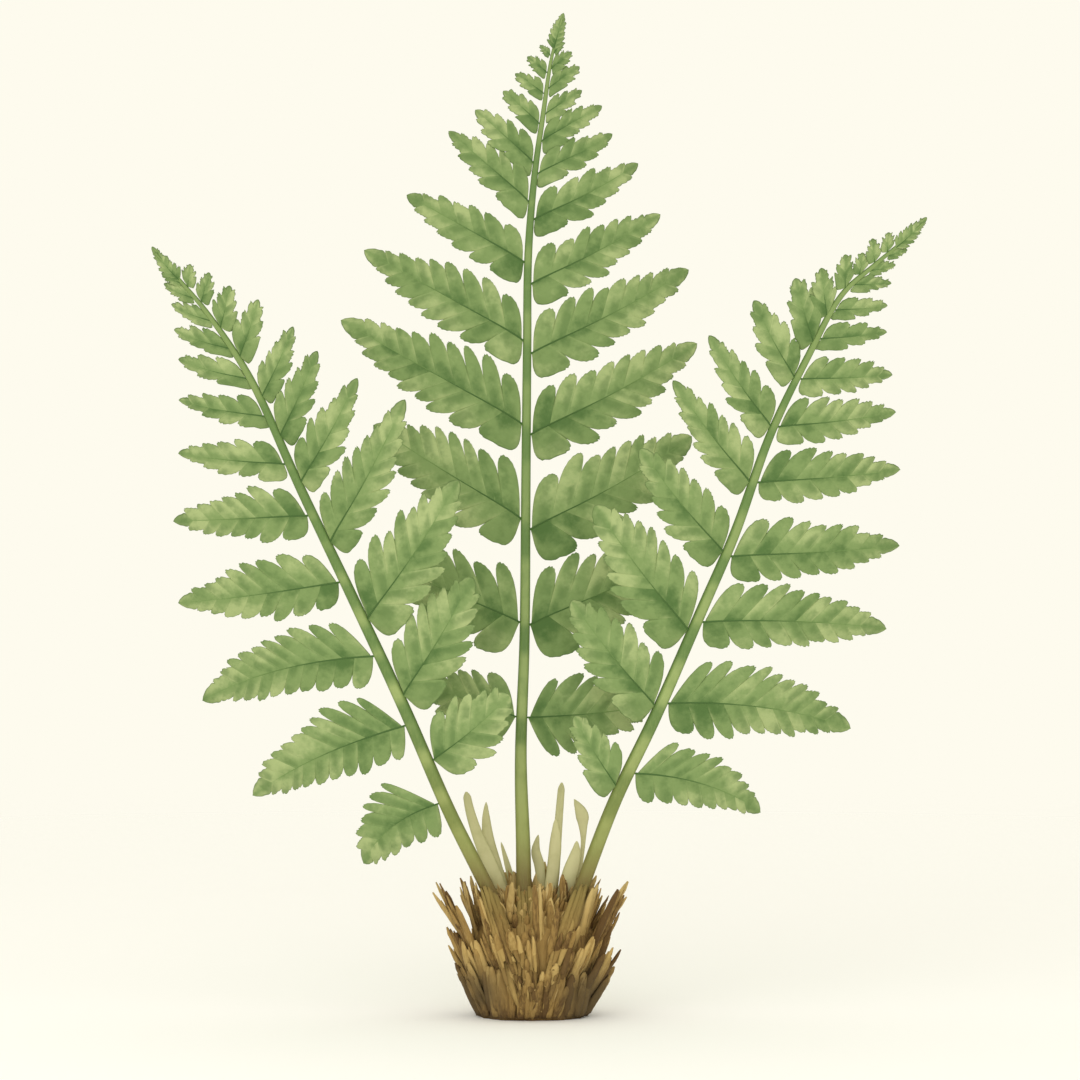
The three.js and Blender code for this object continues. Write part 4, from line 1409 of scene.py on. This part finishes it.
@dataclass
class Frond:
    """One frond: its rachis and its pinnae."""

    layout: FrondLayout
    leaf: bpy.types.Material
    stalk: bpy.types.Material
    midrib: bpy.types.Material
    stalks: StalkTree
    stalk_length: float = 0.0006
    step: float = 0.003
    rachis_end: float = 0.985
    rachis_swell: float = 1.06
    tip_length: float = 0.036
    band_least_pinna: float = 0.06
    band_rise: float = 0.003
    band_length: float = 0.024
    band_blur: float = 0.007
    blade_merge: float = 2e-6
    sharp_from: float = math.radians(60)
    midrib_step: float = 0.004
    midrib_end: float = 0.96
    midrib_lift: float = 0.00015
    midrib_radius: float = 0.00095
    midrib_thinning: float = 0.00078
    midrib_least: float = 0.45
    midrib_full_length: float = 0.2
    midrib_uneven: float = 0.25

    def __post_init__(self) -> None:
        """Lays the rachis and starts the random draws."""
        self.path = SmoothPath([self.layout.spot(height) for _, height in self.layout.rachis])
        self.draws = Draws(self.layout.seed)
        self.random = np.random.RandomState(self.layout.seed)

    def plane(self, share: float) -> tuple[np.ndarray, np.ndarray]:
        """Plane of the frond at a place on its rachis.

        Args:
            share: share of the rachis.

        Returns:
            Direction along the rachis, and the direction that the frond faces.
        """
        along = self.path.tangent(share)
        right = turned(unit(np.cross(AWAY, along)), along, math.radians(-self.layout.twist))
        return along, unit(np.cross(right, along))

    def pinna(self, place: PinnaPlace) -> PinnaFrame:
        """Own directions and sizes of one pinna.

        Args:
            place: where the viewer sees it.

        Returns:
            The pinna's frame.
        """
        share = self.path.share_at_height(place.height)
        rachis, facing = self.plane(share)
        turn = math.radians(place.angle)
        depth = -(facing[0] * math.sin(turn) + facing[2] * math.cos(turn)) / facing[1]
        along = np.array([math.sin(turn), depth, math.cos(turn)])
        length = place.length * np.linalg.norm(along)
        along = unit(along)
        up = np.cross(facing, along)
        hang = max(0.0, abs(place.angle) - SHAPE.bend_from) / SHAPE.bend_range
        opening = math.acos(float(np.clip(rachis @ along, -1, 1)))
        off_midrib = opening - SHAPE.lobe_off_rachis
        off_midrib = min(max(off_midrib, SHAPE.least_lobe_angle), SHAPE.most_lobe_angle)
        steepness = (SHAPE.level - opening) / (SHAPE.level - SHAPE.steep)
        steepness = min(max(steepness, 0.0), SHAPE.steepest)
        lobe_length = SHAPE.lobe_length + SHAPE.steep_lobe_extra * min(steepness, 1)
        short = SHAPE.short_extra * math.exp(-place.length / SHAPE.short_length)
        return PinnaFrame(
            root=self.path.point(share),
            along=along,
            up=up,
            facing=facing,
            length=length,
            width=place.broad * (1 + short),
            start=along_knots(self.layout.radii, share) + self.stalk_length,
            lobes=max(3, round(0.5 + length / lobe_length)),
            upper_side=float(np.sign(up @ rachis)),
            upper_slant=1 / math.tan(off_midrib),
            upper_root_slant=max(SHAPE.upper_root_slant, 1 / math.tan(opening - SHAPE.off_rachis)),
            lower_slant=SHAPE.level_slant + (SHAPE.steep_slant - SHAPE.level_slant) * steepness,
            steepness=steepness,
            bow=SHAPE.bend_steep + SHAPE.bend_level * hang + place.bow,
            tilt=SHAPE.tilt * self.draws.next(),
        )

    def tip(self) -> PinnaFrame:
        """Small lobed blade that ends the frond.

        Returns:
            Its frame.
        """
        share = self.path.share_at_length(1 - self.tip_length / self.path.length)
        root = self.path.point(share)
        along = self.path.point(1) - root
        length = float(np.linalg.norm(along))
        along = unit(along)
        _, facing = self.plane(1)
        facing = unit(facing - along * (facing @ along))
        return PinnaFrame(
            root=root, along=along, up=np.cross(facing, along), facing=facing, length=length,
            width=1.15, start=0.002, lobes=6, upper_side=1.0, upper_slant=0.7,
            upper_root_slant=0.5, lower_slant=0.7,
            steepness=0.0, bow=0.0, tilt=0.0,
        )

    def add_blade(self, blades: PointSet, pinna: PinnaFrame) -> None:
        """Adds the two halves of one blade, each with a front, a back and a rim.

        Args:
            blades: the set that takes them.
            pinna: the pinna's frame.
        """
        for side in (1.0, -1.0):
            half = Half.UPPER if side == pinna.upper_side else Half.LOWER
            grid = HalfBlade(pinna, half, self.random).grid()
            columns, rows = grid.out.shape
            middle = pinna.surface(grid.along, side * grid.out)
            middle = middle + grid.lift[..., None] * pinna.facing
            thick = SHAPE.rim_thickness + (SHAPE.thickness - SHAPE.rim_thickness) * (1 - grid.row)
            offset = thick[..., None] / 2 * pinna.facing
            count = columns * rows
            points = np.concatenate([(middle + offset).reshape(-1, 3), (middle - offset).reshape(-1, 3)])
            margin = np.arange(columns) * rows + rows - 1
            faces = np.concatenate([
                grid_faces(columns, rows, side < 0),
                grid_faces(columns, rows, side > 0) + count,
                wall_faces(margin, count, side < 0),
                wall_faces(np.arange(rows), count, side < 0),
            ])
            run = np.clip(grid.along / pinna.length, 0, 1)
            numbers = dict(across=grid.across, row=grid.row, rim=grid.rim, tone=grid.tone, run=run)
            both = {name: np.tile(value.ravel(), 2) for name, value in numbers.items()}
            blades.add(points, faces, **both, back=np.repeat([0.0, 1.0], count))

    def blades(self, frames: list[PinnaFrame]) -> None:
        """Makes the blades of all pinnae as one piece.

        Args:
            frames: the pinnae.
        """
        blades = PointSet()
        for pinna in frames:
            self.add_blade(blades, pinna)
        item = blades.item(self.layout.name + "_blades", self.blade_merge)
        item.data.materials.append(self.leaf)
        item.data.shade_smooth()
        item.data.set_sharp_from_angle(angle=self.sharp_from)
        keep(item, "foliage", self.layout.name)

    def rachis(self) -> None:
        """Makes the stipe and rachis, with a darker band under each pinna's foot."""
        count = round(self.path.length / self.step)
        shares = np.linspace(0, self.rachis_end, count)
        points = np.array([self.path.point(share) for share in shares])
        facings = np.array([self.plane(share)[1] for share in shares])
        radii = np.array([along_knots(self.layout.radii, share) for share in shares])
        band = np.zeros(count)
        for place in self.layout.pinnae:
            if place.length > self.band_least_pinna:
                below = place.height - points[:, 2]
                start = np.clip((below + self.band_rise) / self.band_blur, 0, 1)
                stop = np.clip((self.band_length - below) / self.band_blur, 0, 1)
                band = np.maximum(band, start * stop)
        paths = PointSet()
        paths.add_path(points, facing=facings, thickness=radii * self.rachis_swell, band=band)
        item = paths.item(self.layout.name + "_rachis")
        self.stalks.run(item, Sides=16, Flatness=1.0, Groove=0.22, Material=self.stalk)
        keep(item, "foliage", self.layout.name)

    def midribs(self, frames: list[PinnaFrame]) -> None:
        """Makes the midribs of all pinnae as one piece.

        Args:
            frames: the pinnae.
        """
        paths = PointSet()
        for pinna in frames:
            count = max(6, round(pinna.length / self.midrib_step))
            share = np.linspace(0.0, self.midrib_end, count)
            points = pinna.surface(share * pinna.length, np.zeros(count))
            points = points + pinna.facing * self.midrib_lift
            size = min(1.0, self.midrib_least + pinna.length / self.midrib_full_length)
            uneven = 1 + self.midrib_uneven * np.sin(share * 23 + pinna.length * 400) * share
            radii = (self.midrib_radius - self.midrib_thinning * share ** 0.6) * size * uneven
            facings = np.tile(pinna.facing, (count, 1))
            paths.add_path(points, facing=facings, thickness=radii, run=share)
        item = paths.item(self.layout.name + "_midribs")
        self.stalks.run(item, Sides=6, Flatness=0.9, Groove=0.0, Material=self.midrib)
        keep(item, "foliage", self.layout.name)

    def build(self) -> None:
        """Makes the whole frond."""
        frames = [self.pinna(place) for place in self.layout.pinnae]
        frames.append(self.tip())
        self.blades(frames)
        self.rachis()
        self.midribs(frames)


@dataclass
class Shoot:
    """One pale young shoot, a flat spear with a keel."""

    number: int
    layout: ShootLayout
    finish: bpy.types.Material
    stalks: StalkTree
    flatness: float = 0.42
    keel: float = 0.35
    steps: int = 36
    smoothing: int = 3
    tip_end: float = 1.004
    tip_length: float = 0.06
    tip_least: float = 0.02

    def build(self) -> None:
        """Makes the shoot."""
        path = SmoothPath([np.array(point) for point in self.layout.spine])
        shares = np.linspace(0, 1, self.steps)
        points = np.array([path.point(share) for share in shares])
        facings = []
        for share in shares:
            along = path.tangent(share)
            facings.append(-np.cross(along, unit(np.cross(AWAY, along))))
        knots = np.linspace(0, 1, len(self.layout.half_widths))
        width = np.interp(shares, knots, self.layout.half_widths)
        window = 2 * self.smoothing + 1
        padded = np.pad(width, self.smoothing, mode="edge")
        smooth = np.convolve(padded, np.ones(window) / window, mode="valid")
        taper = np.clip((self.tip_end - shares) / self.tip_length, self.tip_least, 1)
        paths = PointSet()
        paths.add_path(points, facing=np.array(facings), thickness=smooth * np.sqrt(taper))
        item = paths.item(f"shoot_{self.number}_spear")
        self.stalks.run(
            item, Sides=14, Flatness=self.flatness, Groove=-self.keel, Material=self.finish,
        )
        keep(item, "shoot", f"shoot_{self.number}")


@dataclass
class Crown:
    """Short brown crown, with old leaf bases all round it and papery scales on them."""

    fibre: bpy.types.Material
    scale: bpy.types.Material
    foot: bpy.types.Material
    profile: tuple[tuple[float, float], ...] = (
        (0.045, 0.0), (0.049, 0.014), (0.051, 0.040), (0.049, 0.066), (0.036, 0.086), (0.016, 0.095),
    )
    depth_ratio: float = 0.88
    body_sides: int = 64
    body_rings: int = 32
    body_first_ring: float = 0.002
    body_share: float = 0.965
    body_shade: float = 0.3
    body_merge: float = 1e-6
    lump: float = 0.05
    lump_rise: float = 0.030
    flutes: tuple[tuple[float, int, float], ...] = ((0.02, 11, 40), (0.015, 23, -70))
    seed: int = 7
    base_count: int = 84
    foot_row: float = 0.19
    base_root: tuple[float, float] = (0.0032, 0.088)
    base_least_ring: float = 0.003
    base_sunk: tuple[float, ...] = (0.002, 0.007, 0.008)
    base_lean: tuple[float, ...] = (27, 31, 12)
    base_lean_stray: float = 9
    base_length: tuple[float, ...] = (0.036, 0.058, 0.030)
    base_length_stray: float = 0.22
    base_half_width: tuple[float, ...] = (0.009, 0.0074, 0.0054)
    base_stray: float = 0.16
    base_ridge: float = 0.55
    base_turn: float = 40
    strip_seed: int = 11
    strip_places: tuple[float, ...] = (-1, -0.5, 0, 0.5, 1)
    strip_stray: float = 0.35
    strip_reach: tuple[float, float] = (0.75, 1.08)
    strip_sunk: tuple[float, float] = (0.0, 0.22)
    strip_aside: float = 0.6
    strip_rise: float = 0.3
    strip_fan: float = 0.06
    strip_sway: float = 0.10
    strip_nod: tuple[float, float] = (-0.10, 0.05)
    strip_slim: tuple[float, float] = (0.28, 0.46)
    strip_ridge: tuple[float, float] = (0.45, 0.7)
    strip_turn: float = 0.5
    strip_floor: float = 0.003
    shortest: float = 0.012
    longest: float = 0.075
    room_step: float = 0.002
    stipe_shown: tuple[float, float] = (0.072, 0.14)
    stipe_clear: float = 0.0085
    front_hug: float = 0.12
    side_widening: float = 0.55
    stipe_seed: int = 17
    stipe_strips: int = 12
    stipe_stray: float = 0.15
    stipe_low: tuple[float, float] = (0.014, 0.050)
    stipe_high: tuple[float, float] = (0.097, 0.110)
    stipe_droop: float = 0.003
    stipe_gather: float = 0.6
    stipe_half_widths: tuple[float, float] = (0.0075, 0.0050)
    stipe_turn: float = 0.35
    stipe_slim: tuple[float, float] = (0.0016, 0.0030)
    stipe_ridge: float = 0.6
    front_gap: float = 0.010
    collar_seed: int = 31
    collar_count: int = 36
    collar_stray: float = 0.2
    collar_low: tuple[float, float] = (0.074, 0.088)
    collar_aim: float = 0.03
    collar_ring: tuple[float, float] = (0.006, 0.012)
    collar_length: tuple[float, float] = (0.010, 0.016)
    collar_back_length: float = 0.018
    collar_back_share: tuple[float, float] = (0.4, 1.0)
    collar_open: tuple[float, float] = (0.02, 0.16)
    collar_slim: tuple[float, float] = (0.0018, 0.0034)
    collar_ridge: float = 0.45
    top_count: int = 190
    top_ring: float = 0.044
    top_radii: tuple[float, ...] = (0.0, 0.016, 0.036, 0.049)
    top_heights: tuple[float, ...] = (0.096, 0.095, 0.086, 0.066)
    top_sunk: float = 0.003
    top_open: tuple[float, float] = (0.25, 0.7)
    top_sway: float = 0.3
    top_slim: tuple[float, float] = (0.0016, 0.0028)
    top_length: tuple[float, float] = (0.009, 0.015)
    scale_seed: int = 21
    scale_count: int = 900
    scale_along: tuple[float, float] = (0.0, 0.6)
    scale_aside: float = 0.6
    scale_sink: float = 0.6
    scale_rise: float = 0.8
    scale_open: tuple[float, float] = (0.0, 0.08)
    scale_sway: float = 0.12
    scale_length: tuple[float, float] = (0.009, 0.018)
    scale_slim: tuple[float, float] = (0.0010, 0.0022)
    scale_ridge: float = 0.0004
    scale_floor: float = 0.004

    def radius(self, height: float) -> float:
        """Radius of the crown's side at a height."""
        return float(np.interp(height, [z for _, z in self.profile], [r for r, _ in self.profile]))

    def outward(self, angle: float) -> np.ndarray:
        """Direction away from the middle at an angle, less long to the front and back."""
        return np.array([math.cos(angle), self.depth_ratio * math.sin(angle), 0.0])

    def body(self) -> None:
        """Makes the lumpy body with its flat foot."""
        climb = np.linspace(self.body_first_ring, self.profile[-1][1], self.body_rings)
        sides = self.body_sides
        angle = np.arange(sides) / sides * 2 * math.pi
        rings = []
        for height in np.concatenate([[0.0], climb]):
            wave = np.sin(3 * angle + height / self.lump_rise) * np.cos(2 * angle)
            flute = sum(size * np.sin(count * angle + rise * height) for size, count, rise in self.flutes)
            radius = self.body_share * self.radius(height) * (1 + self.lump * wave + flute)
            depth = self.depth_ratio * radius * np.sin(angle)
            rings.append(np.stack([radius * np.cos(angle), depth, np.full(sides, height)], axis=1))
        rings.insert(0, rings[0] * UP)
        rings.append(rings[-1] * UP)
        points = np.concatenate(rings)
        near, far = np.arange(sides), (np.arange(sides) + 1) % sides
        band = np.stack([near, far, far + sides, near + sides], axis=1)
        faces = np.concatenate([band + ring * sides for ring in range(len(rings) - 1)])
        shade = np.full(len(points), self.body_shade)
        mesh = PointSet()
        mesh.add(points, faces, shade=shade, lengthwise=shade)
        item = mesh.item("crown_body", self.body_merge)
        item.data.materials.append(self.fibre)
        item.data.shade_smooth()
        keep(item, "crown", "crown")

    def tongues(self, shape: TongueShape, rows: list[Tongue], finish: bpy.types.Material) -> None:
        """Makes one piece of tongues.

        Args:
            shape: the form that they share.
            rows: place and size of each.
            finish: their material.
        """
        size = np.array([(row.half_width, row.ridge, row.length) for row in rows])
        points = PointSet()
        points.add(
            np.array([row.root for row in rows]),
            direction=np.array([row.direction for row in rows]),
            back=np.array([row.back for row in rows]),
            size=size,
        )
        item = points.item(shape.name)
        TongueTree(shape).run(
            item, Sides=shape.sides, Segments=shape.segments, Seed=shape.seed,
            Hollow=shape.hollow, Curl=shape.curl, Roughen=shape.roughen, Material=finish,
        )
        keep(item, "crown", "crown")

    def bases(self) -> list[Tongue]:
        """Place and size of each old leaf base, by the solids' rule.

        Returns:
            A tongue for each base.
        """
        draws = Draws(self.seed)
        rows = []
        for index in range(self.base_count):
            share = index / (self.base_count - 1)
            climb = max(0.0, share - self.foot_row) / (1 - self.foot_row)
            low, high = self.base_root
            height = low + (high - low) * climb
            outward = self.outward(index * GOLDEN_ANGLE)
            ring = max(self.base_least_ring, self.radius(height) - along_knots(self.base_sunk, climb))
            root = outward * ring
            root[2] = height
            lean = along_knots(self.base_lean, climb) + self.base_lean_stray * draws.next()
            length = along_knots(self.base_length, climb) * (1 + self.base_length_stray * draws.next())
            half_width = along_knots(self.base_half_width, climb) * (1 + self.base_stray * draws.next())
            across = np.cross(UP, unit(outward))
            direction = turned(UP, across, math.radians(lean))
            direction = unit(direction + across * self.base_stray * draws.next())
            across = turned(across, direction, math.radians(self.base_turn * climb * draws.next()))
            back = unit(np.cross(across, direction))
            rows.append(Tongue(root, direction, back, half_width, half_width * self.base_ridge, length))
        return rows

    def strips(self) -> list[Tongue]:
        """Strips that each old leaf base has split into.

        Returns:
            A tongue for each strip that has room.
        """
        random = np.random.RandomState(self.strip_seed)
        rows = []
        for base in self.bases():
            back, direction = base.back, base.direction
            across = np.cross(direction, back)
            hug = self.front_hug * max(0.0, -back[1])
            widening = 1 + self.side_widening * abs(back[0]) ** 3
            for place in self.strip_places:
                place = place + random.uniform(-self.strip_stray, self.strip_stray)
                reach = base.length * random.uniform(*self.strip_reach)
                sink = random.uniform(*self.strip_sunk) * base.length
                spot = base.root + across * place * self.strip_aside * base.half_width
                spot = spot + back * base.ridge * self.strip_rise * (1 - abs(place))
                sway = self.strip_fan * place + random.uniform(-self.strip_sway, self.strip_sway)
                toward = unit(direction + across * sway)
                toward = unit(toward + back * (random.uniform(*self.strip_nod) - hug))
                spot = spot - toward * sink
                slim = base.half_width * random.uniform(*self.strip_slim) * widening
                face = unit(back + across * place * self.strip_turn)
                spot[2] = max(spot[2], self.strip_floor)
                reach = min(reach + sink, self.room(spot, toward))
                if reach > self.shortest:
                    ridge = base.ridge * random.uniform(*self.strip_ridge)
                    rows.append(Tongue(spot, toward, face, slim, ridge, reach))
        return rows

    def room(self, spot: np.ndarray, toward: np.ndarray) -> float:
        """Length that a strip can have before it hides a stipe from the viewer.

        Args:
            spot: its root.
            toward: its direction.

        Returns:
            The length, which is large for one that stands clear of the stipes.
        """
        for length in np.arange(self.shortest, self.longest, self.room_step):
            end = spot + toward * length
            height = float(np.clip(end[2], *self.stipe_shown))
            for layout in FRONDS:
                aside = abs(end[0] - layout.spot(height)[0])
                if end[1] < 0 and end[2] > self.stipe_shown[0] and aside < self.stipe_clear:
                    return float(length)
        return 1.0

    def front(self, height: float) -> float:
        """Depth at which the strips of the stipes' feet lie, in front of the crown's body."""
        return -self.depth_ratio * self.radius(height) - self.front_gap

    def stipe_feet(self) -> list[Tongue]:
        """Long strips on the crown's front in which the three stipes run down into it.

        Returns:
            A tongue for each strip.
        """
        random = np.random.RandomState(self.stipe_seed)
        low_half, high_half = self.stipe_half_widths
        rows = []
        for layout in FRONDS:
            _, entry = layout.rachis[0]
            for index in range(self.stipe_strips):
                side = (index / (self.stipe_strips - 1) - 0.5) * 2
                side = side + random.uniform(-self.stipe_stray, self.stipe_stray)
                low = random.uniform(*self.stipe_low)
                high = random.uniform(*self.stipe_high) - self.stipe_droop * abs(side)
                gather = 1 - self.stipe_gather + self.stipe_gather * low / entry
                start_x = layout.spot(entry)[0] * gather + side * low_half
                end_x = layout.spot(high)[0] + side * high_half
                start = np.array([start_x, self.front(low), low])
                run = np.array([end_x, self.front(high), high]) - start
                back = unit(np.array([self.stipe_turn * side, -1.0, 0.0]))
                slim = random.uniform(*self.stipe_slim)
                length = float(np.linalg.norm(run))
                rows.append(Tongue(start, unit(run), back, slim, slim * self.stipe_ridge, length))
        return rows

    def collars(self) -> list[Tongue]:
        """Upright brown scales that clasp the stipes' feet and cover the crown's top.

        Returns:
            A tongue for each scale.
        """
        random = np.random.RandomState(self.collar_seed)
        rows = []
        for layout in FRONDS:
            for index in range(self.collar_count):
                stray = random.uniform(-self.collar_stray, self.collar_stray)
                angle = index * GOLDEN_ANGLE + stray
                low = random.uniform(*self.collar_low)
                middle, above = layout.spot(low), layout.spot(low + self.collar_aim)
                outward = np.array([math.cos(angle), math.sin(angle), 0.0])
                root = middle + outward * random.uniform(*self.collar_ring)
                behind = self.collar_back_length * (0.5 + 0.5 * math.sin(angle))
                length = random.uniform(*self.collar_length)
                length = length + behind * random.uniform(*self.collar_back_share)
                toward = unit(above - middle) + outward * random.uniform(*self.collar_open)
                slim = random.uniform(*self.collar_slim)
                ridge = slim * self.collar_ridge
                rows.append(Tongue(root, unit(toward), outward, slim, ridge, length))
        rows.extend(self.top_scales(random))
        return rows

    def top_scales(self, random: np.random.RandomState) -> list[Tongue]:
        """Short scales that cover the crown's rounded top.

        Args:
            random: source of their uneven places and sizes.

        Returns:
            A tongue for each scale.
        """
        rows = []
        for index in range(self.top_count):
            ring = self.top_ring * math.sqrt((index + 0.5) / self.top_count)
            height = float(np.interp(ring, self.top_radii, self.top_heights))
            outward = self.outward(index * GOLDEN_ANGLE)
            root = outward * ring + UP * (height - self.top_sunk)
            toward = unit(UP + outward * random.uniform(*self.top_open))
            sway = random.uniform(-self.top_sway, self.top_sway)
            toward = unit(toward + np.cross(UP, outward) * sway)
            slim = random.uniform(*self.top_slim)
            length = random.uniform(*self.top_length)
            rows.append(Tongue(root, toward, unit(outward), slim, slim * self.collar_ridge, length))
        return rows

    def papery_scales(self, strips: list[Tongue]) -> list[Tongue]:
        """Papery scales that lie on the strips.

        Args:
            strips: the strips of the old leaf bases.

        Returns:
            A tongue for each scale.
        """
        random = np.random.RandomState(self.scale_seed)
        rows = []
        for index in range(self.scale_count):
            strip = strips[index % len(strips)]
            along = random.uniform(*self.scale_along)
            side = random.uniform(-self.scale_aside, self.scale_aside)
            across = np.cross(strip.direction, strip.back)
            rise = (1 - abs(side)) * (1 - self.scale_sink * along) * self.scale_rise
            spot = strip.root + strip.direction * strip.length * along
            spot = spot + across * side * strip.half_width + strip.back * strip.ridge * rise
            spot[2] = max(spot[2], self.scale_floor)
            toward = strip.direction + strip.back * random.uniform(*self.scale_open)
            toward = unit(toward + across * random.uniform(-self.scale_sway, self.scale_sway))
            length = random.uniform(*self.scale_length)
            slim = random.uniform(*self.scale_slim)
            rows.append(Tongue(spot, toward, strip.back, slim, self.scale_ridge, length))
        return rows

    def build(self) -> None:
        """Makes the whole crown."""
        strips = self.strips()
        self.body()
        self.tongues(LEAF_BASES, strips, self.fibre)
        self.tongues(STIPE_FEET, self.stipe_feet(), self.foot)
        self.tongues(COLLARS, self.collars(), self.fibre)
        self.tongues(PAPERY_SCALES, self.papery_scales(strips), self.scale)


@dataclass
class Studio:
    """Floor, light and camera."""

    lens: float = 300.0
    sensor: float = 36.0
    elevation: float = math.radians(3.2)
    frame_width: float = 0.864
    aim: tuple[float, float, float] = (0.0064, 0.0, 0.3824)
    far_end: float = 100.0
    floor_radius: float = 2.4
    floor_sides: int = 96
    backdrop: str = "fefbee"

    def floor(self) -> None:
        """Makes the round floor."""
        sides = self.floor_sides
        angle = np.arange(sides) / sides * 2 * math.pi
        data = bpy.data.meshes.new("floor")
        points = np.stack([np.cos(angle), np.sin(angle), np.zeros(sides)], axis=1) * self.floor_radius
        data.from_pydata(points.tolist(), [], [list(range(sides))])
        data.materials.append(FloorFinish().material())
        linked("floor", data)

    def light(self) -> None:
        """Makes the even surrounding light and two large soft lamps."""
        world = bpy.data.worlds.new("studio")
        world.use_nodes = True
        backdrop = next(node for node in world.node_tree.nodes if node.type == "BACKGROUND")
        backdrop.inputs["Color"].default_value = linear(self.backdrop)
        backdrop.inputs["Strength"].default_value = 1.0
        bpy.context.scene.world = world
        self.lamp("key", place=(-1.1, -3.2, 1.9), size=2.0, power=21)
        self.lamp("fill", place=(0.35, -3.5, 0.75), size=1.6, power=23)

    def lamp(self, name: str, place: tuple[float, float, float], size: float, power: float) -> None:
        """Makes one square lamp that points at the plant.

        Args:
            name: the lamp's name.
            place: its place.
            size: its width.
            power: its power in watts.
        """
        data = bpy.data.lights.new(name, "AREA")
        data.size = size
        data.energy = power
        item = linked(name, data)
        item.location = place
        item.rotation_euler = (Vector(self.aim) - Vector(place)).to_track_quat("-Z", "Y").to_euler()

    def camera(self) -> None:
        """Makes the camera, level with the picture's own view."""
        data = bpy.data.cameras.new("camera")
        data.lens = self.lens
        data.sensor_width = self.sensor
        data.clip_end = self.far_end
        distance = self.frame_width / 2 / math.tan(math.atan(self.sensor / 2 / self.lens))
        back = Vector((0.0, -math.cos(self.elevation), math.sin(self.elevation)))
        item = linked("camera", data)
        item.location = Vector(self.aim) + back * distance
        item.rotation_euler = (-back).to_track_quat("-Z", "Y").to_euler()
        bpy.context.scene.camera = item

    def build(self) -> None:
        """Sets up the whole studio."""
        self.camera()
        self.floor()
        self.light()
        bpy.context.scene.view_settings.view_transform = "Standard"


def main() -> None:
    """Builds the fern piece by piece."""
    logging.basicConfig(level=logging.INFO, format="%(name)s: %(message)s")
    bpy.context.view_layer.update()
    Studio().build()
    stalks = StalkTree()
    leaf, stalk, midrib = (kind().material() for kind in (LeafFinish, StalkFinish, MidribFinish))
    for layout in FRONDS:
        Frond(layout, leaf, stalk, midrib, stalks).build()
    shoot_finish = ShootFinish().material()
    for number, layout in enumerate(SHOOTS, start=1):
        Shoot(number, layout, shoot_finish, stalks).build()
    scale = FibreFinish("scale", dark="664d2b", middle="9b7f48", light="bda068", straw="c4b581")
    foot = FibreFinish(
        "stipe_foot", dark="644c2a", middle="8b7140", light="a88d54", straw="857642",
        straw_rise=(0.065, 0.105), straw_shade=(-1.0, 0.0), straw_share=0.8,
    )
    Crown(FibreFinish().material(), scale.material(), foot.material()).build()


if __name__ == "__main__":
    main()
